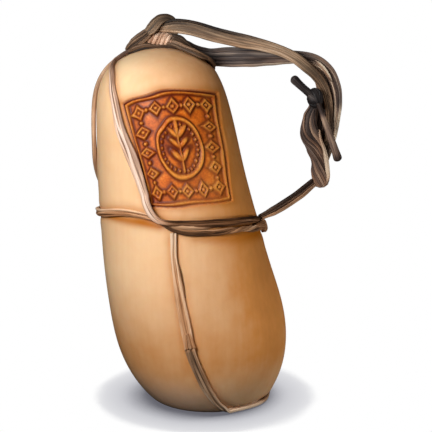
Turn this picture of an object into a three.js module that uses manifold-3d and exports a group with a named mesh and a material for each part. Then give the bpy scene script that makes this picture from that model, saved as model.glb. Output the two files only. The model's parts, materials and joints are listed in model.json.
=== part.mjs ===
// A pear-shaped hanging cheese with its ties of dried rush. Millimetres, +Z up, front towards -Y.
import * as THREE from 'three';
import { mergeVertices } from 'three/addons/utils/BufferGeometryUtils.js';
import Module from 'manifold-3d';

const wasm = await Module();
wasm.setup();

// Cheese body: rings along a leaning, slightly bowed axis, with a flat foot at z = 0.
const BODY_LENGTH = 271;
const BODY_RADIUS = 69;
const BODY_TAPER = 0.386;
const HEEL_FULLNESS = 4;
const HEEL_ROUND = 1.33;
const CROWN_FULLNESS = 11;
const CROWN_ROUND = 1.8;
const LEAN = THREE.MathUtils.degToRad(10);
const BOW = 6.2;
const HEEL_KICK = 8;
const HEEL_KICK_FADE = 8;
const FOOT_X = 24;
const FOOT_DEPTH = 19.2;
const BODY_COLUMNS = 48;
const BODY_ROWS = 36;
const SKIN_STEP = 0.002;
const POLE_GAP = 0.0005;
const SLIVER = 0.02;
const MERGE = 1e-4;

// Stamp: a panel pressed into the front. Sizes on the panel are shares of its width and height.
const STAMP_DEPTH = 1.5;
const STAMP_CORNERS = {
  lowLeft: [-25.5, 147],
  lowRight: [29.7, 149],
  topLeft: [-43.5, 214.5],
  topRight: [19.5, 220],
};
const STAMP_ARCH = 7;
const STAMP_REACH = 70;
const BORDER_IN = 0.025;
const BORDER_WIDE = 0.025;
const LOZENGE_IN = 0.135;
const LOZENGE_STEPS = 4;
const LOZENGE_SIZE = [0.068, 0.068];
const OVAL_SIZE = [0.26, 0.27];
const OVAL_WIDE = 0.036;
const OVAL_SIDES = 24;
const ARCH_STEPS = 8;
const STEM_FOOT = 0.3;
const STEM_TOP = 0.66;
const STEM_WIDE = 0.024;
const LEAF_PAIRS = 3;
const LEAF_STEP = 0.1;
const LEAF_SIDES = 6;
const LEAF_SIZE = [0.068, 0.024];
const LEAF_TILT = THREE.MathUtils.degToRad(42);
const TIP_LEAF_UP = 0.03;

// Ties: how far they stand off the cheese, how thick each is and how flat their broad faces are.
const TIE_GAP = 0.25;
const TIE_THICK = 3.2;
const HITCH_THICK = 4;
const CROWN_LOOP_THICK = 5;
const LEG_THICK = 4.4;
const RETURN_THICK = 5;
const TAIL_THICK = 4.2;
const TIE_FLAT = 0.16;
const TIE_POINTS = 8;
const GROOVE_SLACK = 0.8;
const GROOVE_MOUTH = 8;
const GROOVE_STEPS = 24;
const FLOOR_GAP = 0.35;
const FOOT_TURN = [2, 6];
const GIRTH = 55;
const LINE_SAMPLES = 400;

// Top wrapping: a short barrel of turns lying on the crown.
const WRAP_CENTRE = [-20.2, 0, 253.4];
const WRAP_LENGTH = 19.6;
const WRAP_RADIUS = 5;
const WRAP_TURNS = 6;
const WRAP_RIDGE = 0.5;
const WRAP_END = 0.35;
const WRAP_SIDES = 14;

// Knot of the hanging loop.
const KNOT_CENTRE = [86, -4, 214.1];
const KNOT_SIZE = [5.4, 4.6, 6];
const KNOT_RIDGE = 0.09;
const KNOT_TURNS = 2;
const KNOT_SLANT = 5;
const KNOT_GRID = [16, 10];

// Room under the floor that the flat foot is cut by.
const UNDER_FLOOR = [400, 400, 100];

// Colours and roughness of the rind and of the rush, from bleached to nearly black.
const RIND = [0xdcae76, 0.45];
const PALE_RUSH = [0x9c8064, 0.7];
const BROWN_RUSH = [0x7a6048, 0.7];
const DARK_RUSH = [0x4e423c, 0.7];

// Axis of the cheese at a share of its length, from the foot end (0) to the crown end (1).
function axisPoint(share) {
  const along = share * BODY_LENGTH;
  const bow = -BOW * 4 * share * (1 - share);
  const kick = HEEL_KICK * (1 - share) ** HEEL_KICK_FADE;
  return new THREE.Vector3(
    FOOT_X + kick - along * Math.sin(LEAN) + bow * Math.cos(LEAN),
    0,
    -FOOT_DEPTH + along * Math.cos(LEAN) + bow * Math.sin(LEAN),
  );
}

// Direction square to the axis in the plane of the lean, pointing to the right.
function axisRight(share) {
  const bow = -BOW * 4 * (1 - 2 * share);
  const tangent = new THREE.Vector3(
    -BODY_LENGTH * Math.sin(LEAN) + bow * Math.cos(LEAN),
    0,
    BODY_LENGTH * Math.cos(LEAN) + bow * Math.sin(LEAN),
  ).normalize();
  return new THREE.Vector3(tangent.z, 0, -tangent.x);
}

// Radius of the ring at a share of the axis: a taper closed by a full heel and a flatter crown.
function bodyRadius(share) {
  const reach = Math.abs(2 * share - 1);
  const fullness = share < 0.5 ? HEEL_FULLNESS : CROWN_FULLNESS;
  const round = share < 0.5 ? HEEL_ROUND : CROWN_ROUND;
  const cap = Math.max(1 - reach ** fullness, 0) ** (1 / round);
  return BODY_RADIUS * (1 - BODY_TAPER * share) * cap;
}

// Point of the cheese's skin; angle 0 is the right side, a quarter turn is the back.
function skinPoint(share, angle, inset = 0) {
  const radius = Math.max(bodyRadius(share) - inset, 0);
  const point = axisPoint(share).addScaledVector(axisRight(share), radius * Math.cos(angle));
  point.y += radius * Math.sin(angle);
  return point;
}

// Outward direction of the skin, from two short steps along it.
function skinNormal(share, angle) {
  const low = Math.max(share - SKIN_STEP, POLE_GAP);
  const high = Math.min(share + SKIN_STEP, 1 - POLE_GAP);
  const up = skinPoint(high, angle).sub(skinPoint(low, angle));
  const round = skinPoint(share, angle + SKIN_STEP).sub(skinPoint(share, angle - SKIN_STEP));
  return round.cross(up).normalize();
}

// Closed skin of the whole body, drawn in by an inset.
function bodyGeometry(inset) {
  const geometry = new THREE.SphereGeometry(1, BODY_COLUMNS, BODY_ROWS);
  const place = geometry.attributes.position;
  for (let i = 0; i < place.count; i += 1) {
    const share = (1 + place.getY(i)) / 2;
    const angle = Math.atan2(-place.getZ(i), place.getX(i));
    const point = skinPoint(share, angle, inset);
    place.setXYZ(i, point.x, point.y, point.z);
  }
  return geometry;
}

// Joins and cuts work on closed solids with their doubled vertices merged.
function solidOf(geometry) {
  const bare = geometry.clone();
  bare.deleteAttribute('normal');
  bare.deleteAttribute('uv');
  const merged = mergeVertices(bare, MERGE);
  const mesh = new wasm.Mesh({
    numProp: 3,
    vertProperties: new Float32Array(merged.attributes.position.array),
    triVerts: new Uint32Array(merged.index.array),
  });
  return new wasm.Manifold(mesh);
}

function geometryOf(solid) {
  const mesh = solid.getMesh();
  const geometry = new THREE.BufferGeometry();
  geometry.setAttribute('position', new THREE.BufferAttribute(new Float32Array(mesh.vertProperties), 3));
  geometry.setIndex(new THREE.BufferAttribute(new Uint32Array(mesh.triVerts), 1));
  geometry.computeVertexNormals();
  return geometry;
}

// Place on the stamp's panel seen from the front: across runs left to right, up runs foot to top.
function stampPoint(across, up) {
  const { lowLeft, lowRight, topLeft, topRight } = STAMP_CORNERS;
  const low = new THREE.Vector2(...lowLeft).lerp(new THREE.Vector2(...lowRight), across);
  const top = new THREE.Vector2(...topLeft).lerp(new THREE.Vector2(...topRight), across);
  const point = low.lerp(top, up);
  point.y += STAMP_ARCH * 4 * across * (1 - across) * up;
  return point;
}

// Prism through the front of the cheese over an outline given on the panel.
function stampPrism(outline) {
  const shape = new THREE.Shape(outline.map(([across, up]) => stampPoint(across, up)));
  const geometry = new THREE.ExtrudeGeometry(shape, { depth: STAMP_REACH, bevelEnabled: false });
  geometry.rotateX(Math.PI / 2);
  return solidOf(geometry);
}

// Rectangle on the panel, drawn in from its edges, with steps that follow the arch.
function stampFrame(inset) {
  const outline = [[inset, inset], [1 - inset, inset]];
  for (let i = 0; i <= ARCH_STEPS; i += 1) {
    outline.push([1 - inset - (1 - 2 * inset) * (i / ARCH_STEPS), 1 - inset]);
  }
  return stampPrism(outline);
}

// Outline round a place on the panel: four sides make a lozenge, more an oval or a leaf.
function roundOutline(across, up, [wide, tall], sides, tilt = 0) {
  const outline = [];
  for (let i = 0; i < sides; i += 1) {
    const turn = (2 * Math.PI * i) / sides;
    const x = wide * Math.cos(turn);
    const y = tall * Math.sin(turn);
    outline.push([
      across + x * Math.cos(tilt) - y * Math.sin(tilt),
      up + x * Math.sin(tilt) + y * Math.cos(tilt),
    ]);
  }
  return outline;
}

// Lozenges in a row along each edge of the panel.
function lozengeOutlines() {
  const outlines = [];
  for (let row = 0; row <= LOZENGE_STEPS; row += 1) {
    for (let column = 0; column <= LOZENGE_STEPS; column += 1) {
      const edge = row % LOZENGE_STEPS === 0 || column % LOZENGE_STEPS === 0;
      const step = (1 - 2 * LOZENGE_IN) / LOZENGE_STEPS;
      if (edge) {
        outlines.push(roundOutline(LOZENGE_IN + column * step, LOZENGE_IN + row * step, LOZENGE_SIZE, 4));
      }
    }
  }
  return outlines;
}

// A sprig: an upright stem with pairs of leaves and one leaf at its tip.
function sprigOutlines() {
  const half = STEM_WIDE / 2;
  const outlines = [
    [[0.5 - half, STEM_FOOT], [0.5 + half, STEM_FOOT], [0.5 + half, STEM_TOP], [0.5 - half, STEM_TOP]],
    roundOutline(0.5, STEM_TOP + TIP_LEAF_UP, LEAF_SIZE, LEAF_SIDES, Math.PI / 2),
  ];
  for (let pair = 0; pair < LEAF_PAIRS; pair += 1) {
    const up = STEM_FOOT + (pair + 1) * LEAF_STEP;
    const reach = LEAF_SIZE[0] * Math.cos(LEAF_TILT);
    const rise = LEAF_SIZE[0] * Math.sin(LEAF_TILT);
    outlines.push(roundOutline(0.5 + reach, up + rise, LEAF_SIZE, LEAF_SIDES, LEAF_TILT));
    outlines.push(roundOutline(0.5 - reach, up + rise, LEAF_SIZE, LEAF_SIDES, Math.PI - LEAF_TILT));
  }
  return outlines;
}

// The sunk ground of the stamp: the panel's skin without the border and the raised marks.
function stampGround() {
  const inner = OVAL_SIZE.map((size) => size - OVAL_WIDE);
  const oval = stampPrism(roundOutline(0.5, 0.5, OVAL_SIZE, OVAL_SIDES));
  const ring = oval.subtract(stampPrism(roundOutline(0.5, 0.5, inner, OVAL_SIDES)));
  let ground = stampFrame(BORDER_IN + BORDER_WIDE).subtract(ring);
  [...lozengeOutlines(), ...sprigOutlines()].forEach((outline) => {
    ground = ground.subtract(stampPrism(outline));
  });
  const rim = stampFrame(0).subtract(stampFrame(BORDER_IN));
  return rim.add(ground).subtract(solidOf(bodyGeometry(STAMP_DEPTH)));
}

// Band section, one unit each way: an oval with flattened broad faces.
function bandSection() {
  const points = [];
  for (let i = 0; i < TIE_POINTS; i += 1) {
    const turn = (2 * Math.PI * i) / TIE_POINTS;
    const rise = Math.sin(turn);
    points.push(new THREE.Vector2(0.5 * rise * (1 - TIE_FLAT * rise ** 6), 0.5 * Math.cos(turn)));
  }
  return new THREE.Shape(points);
}

// Section of the groove under the foot: square, open on the outward side.
function grooveSection() {
  return new THREE.Shape([
    new THREE.Vector2(-0.5, -0.5),
    new THREE.Vector2(GROOVE_MOUTH, -0.5),
    new THREE.Vector2(GROOVE_MOUTH, 0.5),
    new THREE.Vector2(-0.5, 0.5),
  ]);
}

// A tie's centre line, with its own outward direction and width at every place along it: its rows, its
// thickness and the number of steps it is drawn in.
class Tie extends THREE.Curve {
  constructor(rows, thick, steps) {
    super();
    this.thick = thick;
    this.steps = steps;
    this.slack = 0;
    this.span = [0, 1];
    this.place = new THREE.CatmullRomCurve3(rows.map((row) => this.placeOf(row)), false, 'centripetal');
    const sizes = rows.map((row) => new THREE.Vector3(...this.sizeOf(row)));
    this.size = new THREE.CatmullRomCurve3(sizes, false, 'catmullrom', 0);
    this.arcLengthDivisions = LINE_SAMPLES;
  }

  // The same tie's groove over a stretch of it, a little wider than the tie.
  grooveOver(from, to) {
    const groove = Object.assign(Object.create(Object.getPrototypeOf(this)), this);
    groove.cacheArcLengths = null;
    groove.span = [from, to];
    groove.slack = GROOVE_SLACK;
    groove.steps = GROOVE_STEPS;
    return groove;
  }

  stretch(s) {
    return THREE.MathUtils.lerp(this.span[0], this.span[1], s);
  }

  computeFrenetFrames(segments) {
    const tangents = [];
    const normals = [];
    const binormals = [];
    for (let i = 0; i <= segments; i += 1) {
      const s = this.getUtoTmapping(i / segments);
      const tangent = this.getTangent(s);
      const normal = this.outwardAt(s);
      normal.addScaledVector(tangent, -normal.dot(tangent)).normalize();
      const width = this.size.getPoint(this.stretch(s)).x;
      const thick = Math.min(this.thick, width);
      tangents.push(tangent);
      binormals.push(tangent.clone().cross(normal).multiplyScalar(width + 2 * this.slack));
      normals.push(normal.multiplyScalar(thick + 2 * this.slack));
    }
    return { tangents, normals, binormals };
  }

  geometry(section) {
    const options = { steps: this.steps, extrudePath: this, bevelEnabled: false };
    return new THREE.ExtrudeGeometry(section, options);
  }
}

// A tie lying on the cheese. Rows: share up the axis, angle in degrees, lift off the skin, width.
class HeldTie extends Tie {
  placeOf([share, degrees]) {
    return new THREE.Vector3(share * BODY_LENGTH, THREE.MathUtils.degToRad(degrees) * GIRTH, 0);
  }

  sizeOf([, , lift, width]) {
    return [width, lift, 0];
  }

  spot(s) {
    const flat = this.place.getPoint(this.stretch(s));
    return [flat.x / BODY_LENGTH, flat.y / GIRTH];
  }

  halfThick(s) {
    return Math.min(this.thick, this.size.getPoint(this.stretch(s)).x) / 2;
  }

  skinOffset(s) {
    const [share, angle] = this.spot(s);
    const off = TIE_GAP + this.halfThick(s) + this.size.getPoint(this.stretch(s)).y;
    return skinPoint(share, angle).addScaledVector(skinNormal(share, angle), off);
  }

  // Square to the skin, turning to face straight down as the tie nears the floor.
  outwardAt(s) {
    const down = 1 - THREE.MathUtils.smoothstep(this.skinOffset(s).z, ...FOOT_TURN);
    return skinNormal(...this.spot(s)).lerp(new THREE.Vector3(0, 0, -1), down);
  }

  getPoint(s) {
    const point = this.skinOffset(s);
    point.z = Math.max(point.z, FLOOR_GAP + this.halfThick(s));
    return point;
  }
}

// A tie hanging free, its broad side to the front. Rows: x, y, z, width.
class FreeTie extends Tie {
  placeOf([x, y, z]) {
    return new THREE.Vector3(x, y, z);
  }

  sizeOf([, , , width]) {
    return [width, 0, 0];
  }

  outwardAt() {
    return new THREE.Vector3(0, -1, 0);
  }

  getPoint(s) {
    return this.place.getPoint(this.stretch(s));
  }
}

// Ring round the waist: from the right side round the back and the left, under the front tie and below it.
const waistRing = new HeldTie([
  [0.4985, -1.5, 0, 4.2],
  [0.503, 8, 0, 4.5],
  [0.517, 30, 0, 4.6],
  [0.532, 50, 0.6, 4.8],
  [0.544, 64, 3.4, 5],
  [0.555, 82, 3.4, 5],
  [0.566, 98, 0.6, 4.8],
  [0.583, 124, 0, 4.8],
  [0.6, 154, 0, 5],
  [0.612, 187, 0, 5.2],
  [0.626, 220, 0, 4.8],
  [0.627, 236, 0, 4.6],
  [0.62, 248, 0, 4.4],
  [0.609, 256.5, 0, 4.2],
  [0.597, 262, 0, 3.8],
  [0.583, 266.5, 0, 3.8],
  [0.57, 272.5, 0, 4],
  [0.5595, 281, 0, 4.2],
  [0.5515, 291, 0, 4.2],
  [0.543, 304, 0, 4.4],
  [0.534, 319, 0, 4.6],
  [0.521, 334, 0, 4.8],
  [0.5095, 346, 0, 4.2],
], TIE_THICK, 68);

// From the left of the crown down the front, over the ring and along above it to the right.
const frontTie = new HeldTie([
  [0.998, 194, 2.8, 3.5],
  [0.991, 185, 1, 3.6],
  [0.979, 185, 0.2, 3.8],
  [0.968, 198, 0, 4],
  [0.944, 219.5, 0, 5],
  [0.905, 228.5, 0, 6],
  [0.874, 232.5, 0, 6.3],
  [0.828, 237, 0, 7.2],
  [0.776, 243, 0, 7.2],
  [0.714, 248.8, 0, 7],
  [0.672, 252.4, 1, 6.6],
  [0.646, 254.4, 3.8, 6.2],
  [0.624, 256.6, 3.8, 5.4],
  [0.6065, 260, 3.8, 4.6],
  [0.5965, 265.5, 3.8, 3.8],
  [0.591, 270.5, 2.6, 3.6],
  [0.586, 276.5, 0.6, 3.8],
  [0.579, 285, 0, 4.4],
  [0.572, 296, 0, 4.6],
  [0.563, 308, 0, 4.6],
  [0.553, 322.5, 0, 4.6],
  [0.539, 338, 0, 4.4],
  [0.531, 346.5, 0, 4.2],
], TIE_THICK, 62);

// From below the ring down the front, under the foot, up the back and over the right shoulder.
const roundTie = new HeldTie([
  [0.553, 268.2, 0, 4.2],
  [0.516, 266.7, 0, 4.4],
  [0.469, 266, 0, 5.4],
  [0.394, 265.6, 0, 6.4],
  [0.321, 265.1, 0, 7],
  [0.263, 264.8, 0, 6.4],
  [0.201, 265.9, 0, 5.8],
  [0.147, 268, 0, 5.6],
  [0.105, 271, 0, 5.4],
  [0.078, 277, 0, 5],
  [0.064, 293, 0, 4],
  [0.0575, 312, 0, 3.6],
  [0.05, 330, 0, 3.8],
  [0.043, 356, 0, 4.2],
  [0.06, 388, 0, 5],
  [0.13, 412, 0, 5],
  [0.21, 426, 0, 5],
  [0.3, 434, 0, 5],
  [0.4, 437, 0, 5],
  [0.5, 436, 0, 5],
  [0.6, 432, 0, 5],
  [0.7, 426, 0, 5],
  [0.8, 419, 0, 5],
  [0.87, 410, 0, 5.4],
  [0.915, 397, 0, 5.6],
  [0.945, 372, 0.3, 6],
  [0.966, 354, 0.8, 6.4],
  [0.983, 350, 1.6, 6.4],
  [0.9945, 356, 3, 6],
], TIE_THICK, 104);
const ROUND_FOOT = [0.27, 0.52];

// From the left of the crown down the left side and round the back to the ring.
const leftTie = new HeldTie([
  [0.998, 158, 2.8, 3.2],
  [0.9885, 168, 0.6, 3.8],
  [0.972, 173, 0, 4],
  [0.934, 181, 0, 4.2],
  [0.895, 184, 0, 4.2],
  [0.84, 186, 0, 4.2],
  [0.785, 186, 0, 4.2],
  [0.744, 182, 0, 4.2],
  [0.7, 171, 0, 4],
  [0.658, 159, 0, 4],
  [0.617, 150, 0, 3.6],
], TIE_THICK, 26);

// Turn that grips the ties on the right side, where the tail leaves.
const waistHitch = new HeldTie([
  [0.517, 351.5, 1.3, 4.6],
  [0.511, 353, 1.7, 6.4],
  [0.5045, 353, 1.7, 6.4],
  [0.499, 351.5, 1.1, 4.8],
], HITCH_THICK, 8);

// Loop that grips the end of the upper leg on the crown.
const crownLoop = new FreeTie([
  [-11.1, 7, 261.5, 4],
  [-10.5, 7, 264.4, 4],
  [-12, 5.6, 267.2, 4],
  [-15.6, 1.4, 268.7, 4.2],
  [-19.6, -2.8, 267.9, 4.8],
  [-22.6, -5.2, 265, 5.6],
  [-25.2, -6.4, 261.6, 5.8],
  [-27.4, -6.8, 258.9, 5.4],
], CROWN_LOOP_THICK, 16);

// Upper leg of the hanging loop, crossing in front of the lower one.
const upperLeg = new FreeTie([
  [-18.6, 0, 262.2, 6.4],
  [-15.3, 0, 262.2, 6.9],
  [-9.8, 0, 262.7, 9],
  [0.7, -1, 261.7, 9.4],
  [17.6, -2, 257.2, 9.4],
  [34.5, -4, 253.2, 8.8],
  [48.7, -6, 250.3, 7.2],
  [60.9, -6, 246.8, 6.8],
  [71.2, -4.4, 241.8, 7],
  [79.7, -1.6, 235.3, 6.8],
  [86.8, 1, 228.9, 6.4],
  [92.1, 2.8, 221.3, 6],
  [95.3, 3.8, 212.1, 5.4],
  [97, 4, 200.7, 4.6],
  [96.4, 4, 188.8, 4.2],
  [94.4, 4.2, 179, 4.2],
  [91.3, 4.2, 168.4, 4.2],
  [88.9, 4.2, 158.5, 3.6],
], LEG_THICK, 26);

// Lower leg, a flat band from behind the crown to the bend on the right and down.
const lowerLeg = new FreeTie([
  [-8.5, 8, 252.6, 4.4],
  [-1.1, 15.6, 246.9, 6],
  [10.6, 23.4, 240, 8.4],
  [28, 18, 240.2, 11.4],
  [41.8, 13.4, 240.5, 11.6],
  [55.5, 9.4, 240.8, 10.4],
  [67.8, 7, 240.9, 8.6],
  [76, 6, 241.1, 7.6],
  [85.9, 5, 239.6, 6.8],
  [95.9, 4.4, 232.4, 6.2],
  [101.2, 4, 221.5, 5.6],
  [102.8, 4, 210.4, 4.8],
  [102, 5, 199.3, 4.4],
  [100.3, 7.4, 187.4, 4.2],
  [97.3, 9, 176, 4.2],
  [93.7, 9, 165.3, 4.2],
  [92.1, 9, 156.8, 3.6],
], LEG_THICK, 26);

// Doubled return of the loop, from its fold at the bottom up to the knot.
const loopReturn = new FreeTie([
  [85.4, -3.4, 207.6, 7],
  [83.4, -2.5, 200.1, 10.4],
  [83.8, -2, 189.7, 12.8],
  [87.2, -1.5, 179.8, 12.6],
  [89.8, -1, 170.7, 12],
  [91.1, -1, 162.2, 12.4],
  [91.5, -1, 155.2, 11.4],
  [91.7, -1, 151.6, 6],
], RETURN_THICK, 12);

// Short tail that stands out of the knot.
const tailUp = new FreeTie([
  [81.5, -4.5, 218.1, 4],
  [75.5, -5.4, 223.3, 4.4],
  [71.9, -5.9, 226.6, 4.6],
  [69.7, -6.2, 228.6, 3.4],
], LEG_THICK, 4);

// Longer tail that hangs from the knot.
const tailDown = new FreeTie([
  [88.6, -8.2, 208.6, 2.8],
  [94.2, -8.6, 192.6, 3.4],
  [98.5, -8.6, 180.9, 4.2],
  [100.9, -8.5, 174.4, 4.7],
  [101.8, -8.4, 172, 3.4],
], TAIL_THICK, 5);

// Tail of the waist ring, up to the fold of the loop.
const waistTail = new FreeTie([
  [51.8, -3.6, 132, 4.4],
  [59, -2.8, 135.4, 6],
  [65.7, -2, 139.1, 6.4],
  [76.8, -1, 146.7, 6.4],
  [84.9, -1, 153.7, 5.4],
], TAIL_THICK, 7);

// Barrel of turns: a ridged profile spun about its own axis, then laid along X.
function crownWrap() {
  const profile = [new THREE.Vector2(0, -WRAP_LENGTH / 2)];
  const steps = WRAP_TURNS * 2;
  for (let i = 0; i <= steps; i += 1) {
    const along = i / steps;
    const belly = 1 - WRAP_END * (2 * along - 1) ** 4;
    const ridge = i % 2 === 0 ? -WRAP_RIDGE : 0;
    profile.push(new THREE.Vector2(WRAP_RADIUS * belly + ridge, (along - 0.5) * WRAP_LENGTH));
  }
  profile.push(new THREE.Vector2(0, WRAP_LENGTH / 2));
  const geometry = new THREE.LatheGeometry(profile, WRAP_SIDES);
  geometry.rotateZ(-Math.PI / 2);
  geometry.translate(...WRAP_CENTRE);
  return geometry;
}

// Knot: a small ball with slanting turns round it.
function loopKnot() {
  const geometry = new THREE.SphereGeometry(1, ...KNOT_GRID);
  const place = geometry.attributes.position;
  const point = new THREE.Vector3();
  for (let i = 0; i < place.count; i += 1) {
    point.fromBufferAttribute(place, i);
    const turn = Math.atan2(-point.z, point.x);
    const girth = Math.hypot(point.x, point.z);
    const swell = 1 + KNOT_RIDGE * girth * Math.cos(KNOT_TURNS * turn + KNOT_SLANT * point.y);
    place.setXYZ(i, point.x * swell * KNOT_SIZE[0], -point.z * swell * KNOT_SIZE[1], point.y * KNOT_SIZE[2]);
  }
  geometry.translate(...KNOT_CENTRE);
  return geometry;
}

// Cheese: the body cut flat at the foot, grooved for the tie under it, and stamped.
function cheeseSolid() {
  const below = new THREE.BoxGeometry(...UNDER_FLOOR);
  below.translate(0, 0, -UNDER_FLOOR[2] / 2);
  const groove = roundTie.grooveOver(...ROUND_FOOT).geometry(grooveSection());
  return solidOf(bodyGeometry(0))
    .subtract(solidOf(below))
    .subtract(solidOf(groove))
    .subtract(stampGround())
    .simplify(SLIVER);
}

function mesh(name, geometry, [color, roughness]) {
  const material = new THREE.MeshStandardMaterial({ color, roughness, metalness: 0 });
  const piece = new THREE.Mesh(geometry, material);
  piece.name = name;
  return piece;
}

const band = bandSection();
const part = new THREE.Group();
part.name = 'hanging_cheese';
part.add(
  mesh('cheese', geometryOf(cheeseSolid()), RIND),
  mesh('waist_ring', waistRing.geometry(band), BROWN_RUSH),
  mesh('front_tie', frontTie.geometry(band), PALE_RUSH),
  mesh('round_tie', roundTie.geometry(band), BROWN_RUSH),
  mesh('left_tie', leftTie.geometry(band), BROWN_RUSH),
  mesh('waist_hitch', waistHitch.geometry(band), BROWN_RUSH),
  mesh('crown_wrap', crownWrap(), PALE_RUSH),
  mesh('crown_loop', crownLoop.geometry(band), BROWN_RUSH),
  mesh('upper_leg', upperLeg.geometry(band), BROWN_RUSH),
  mesh('lower_leg', lowerLeg.geometry(band), DARK_RUSH),
  mesh('loop_return', loopReturn.geometry(band), DARK_RUSH),
  mesh('loop_knot', loopKnot(), DARK_RUSH),
  mesh('tail_up', tailUp.geometry(band), DARK_RUSH),
  mesh('tail_down', tailDown.geometry(band), DARK_RUSH),
  mesh('waist_tail', waistTail.geometry(band), BROWN_RUSH),
);

export default part;
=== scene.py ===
"""Dresses a packed hanging cheese: a waxy smoked rind with a pressed panel, bound and hung with dried rush.

Sizes are millimetres until a mesh is made, and metres in it. +Z is up, the front faces -Y and the foot stands
on z = 0.
"""

import json
import logging
from dataclasses import dataclass, field
from enum import Enum

import bpy
import numpy as np
from mathutils import Vector
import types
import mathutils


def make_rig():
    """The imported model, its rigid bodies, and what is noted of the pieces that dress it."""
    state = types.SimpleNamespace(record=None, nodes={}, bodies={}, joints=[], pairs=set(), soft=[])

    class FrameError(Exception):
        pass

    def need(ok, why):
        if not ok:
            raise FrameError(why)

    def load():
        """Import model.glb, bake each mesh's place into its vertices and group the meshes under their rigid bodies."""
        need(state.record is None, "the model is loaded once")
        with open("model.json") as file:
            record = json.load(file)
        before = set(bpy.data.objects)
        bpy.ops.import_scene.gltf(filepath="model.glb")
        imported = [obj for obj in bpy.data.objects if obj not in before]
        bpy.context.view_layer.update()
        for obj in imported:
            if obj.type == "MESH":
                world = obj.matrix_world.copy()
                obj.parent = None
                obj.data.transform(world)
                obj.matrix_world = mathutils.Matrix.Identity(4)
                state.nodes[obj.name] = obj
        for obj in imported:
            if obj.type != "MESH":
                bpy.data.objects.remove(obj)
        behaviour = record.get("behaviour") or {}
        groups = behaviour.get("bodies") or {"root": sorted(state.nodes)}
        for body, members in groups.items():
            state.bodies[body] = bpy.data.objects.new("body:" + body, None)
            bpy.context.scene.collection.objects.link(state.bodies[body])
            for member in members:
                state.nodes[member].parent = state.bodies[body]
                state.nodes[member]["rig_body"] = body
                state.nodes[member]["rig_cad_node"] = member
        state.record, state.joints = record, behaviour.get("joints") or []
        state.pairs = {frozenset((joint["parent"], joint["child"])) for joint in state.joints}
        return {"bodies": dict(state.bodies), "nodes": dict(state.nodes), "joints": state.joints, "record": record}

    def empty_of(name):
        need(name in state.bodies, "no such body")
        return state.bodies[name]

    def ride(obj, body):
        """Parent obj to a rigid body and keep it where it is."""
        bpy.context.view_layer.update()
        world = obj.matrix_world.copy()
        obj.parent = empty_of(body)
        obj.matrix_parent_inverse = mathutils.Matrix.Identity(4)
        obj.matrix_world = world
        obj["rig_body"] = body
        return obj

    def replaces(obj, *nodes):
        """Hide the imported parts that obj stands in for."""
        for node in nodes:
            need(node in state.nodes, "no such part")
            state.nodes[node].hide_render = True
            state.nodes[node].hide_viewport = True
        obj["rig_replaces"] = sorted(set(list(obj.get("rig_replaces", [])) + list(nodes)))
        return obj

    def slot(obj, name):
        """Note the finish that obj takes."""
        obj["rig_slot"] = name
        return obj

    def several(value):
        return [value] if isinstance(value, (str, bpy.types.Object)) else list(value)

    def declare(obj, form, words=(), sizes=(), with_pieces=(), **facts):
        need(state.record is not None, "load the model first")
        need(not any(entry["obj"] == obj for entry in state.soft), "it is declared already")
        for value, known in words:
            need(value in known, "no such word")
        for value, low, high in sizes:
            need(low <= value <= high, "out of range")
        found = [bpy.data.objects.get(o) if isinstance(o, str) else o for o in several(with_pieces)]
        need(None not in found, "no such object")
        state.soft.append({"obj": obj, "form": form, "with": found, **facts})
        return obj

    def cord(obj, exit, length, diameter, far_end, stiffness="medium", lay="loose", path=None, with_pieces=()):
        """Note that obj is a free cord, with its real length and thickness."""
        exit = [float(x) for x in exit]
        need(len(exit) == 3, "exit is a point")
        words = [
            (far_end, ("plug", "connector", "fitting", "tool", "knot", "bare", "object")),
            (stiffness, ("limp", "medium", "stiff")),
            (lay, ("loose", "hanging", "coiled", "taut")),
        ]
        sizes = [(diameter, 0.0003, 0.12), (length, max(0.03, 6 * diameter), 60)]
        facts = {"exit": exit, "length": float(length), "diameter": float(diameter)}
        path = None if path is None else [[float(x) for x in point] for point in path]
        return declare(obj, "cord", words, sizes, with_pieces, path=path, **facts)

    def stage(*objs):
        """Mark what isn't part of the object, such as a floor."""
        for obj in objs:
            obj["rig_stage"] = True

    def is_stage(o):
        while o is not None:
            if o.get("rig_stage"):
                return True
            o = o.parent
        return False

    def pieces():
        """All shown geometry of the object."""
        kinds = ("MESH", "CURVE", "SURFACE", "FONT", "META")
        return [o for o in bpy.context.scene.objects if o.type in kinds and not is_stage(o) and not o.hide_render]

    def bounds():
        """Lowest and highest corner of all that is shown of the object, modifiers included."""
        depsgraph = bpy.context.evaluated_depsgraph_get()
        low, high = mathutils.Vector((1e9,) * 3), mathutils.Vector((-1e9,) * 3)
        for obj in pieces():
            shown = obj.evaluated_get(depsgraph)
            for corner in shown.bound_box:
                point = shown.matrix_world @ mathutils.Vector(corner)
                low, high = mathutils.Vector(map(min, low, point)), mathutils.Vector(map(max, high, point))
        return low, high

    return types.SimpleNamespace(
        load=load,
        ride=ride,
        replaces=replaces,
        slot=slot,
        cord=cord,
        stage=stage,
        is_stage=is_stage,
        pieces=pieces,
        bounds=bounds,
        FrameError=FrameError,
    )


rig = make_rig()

Array = np.ndarray
Pair = tuple[float, float]
Triple = tuple[float, float, float]
Rows = tuple[tuple[float, ...], ...]
Codes = tuple[str, ...]
Piece = bpy.types.Object
Tree = bpy.types.NodeTree
Socket = bpy.types.NodeSocket
LOG = logging.getLogger("hanging_cheese")
MM = 0.001
BODY = "root"
SIZE_FILE = "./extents.json"
FULL_TURN = 2.0 * np.pi
RIGHT = np.array([1.0, 0.0, 0.0])
FRONT = np.array([0.0, -1.0, 0.0])
UP = np.array([0.0, 0.0, 1.0])
SHORTEST = 1e-9
# The sines of a wander: how many, how much quicker and lower each further one is, and what their sum is over.
WAVES = 4
WAVE_QUICKER = 0.8
WAVE_LOWER = 0.7
WAVE_SUM = 1.6
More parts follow.
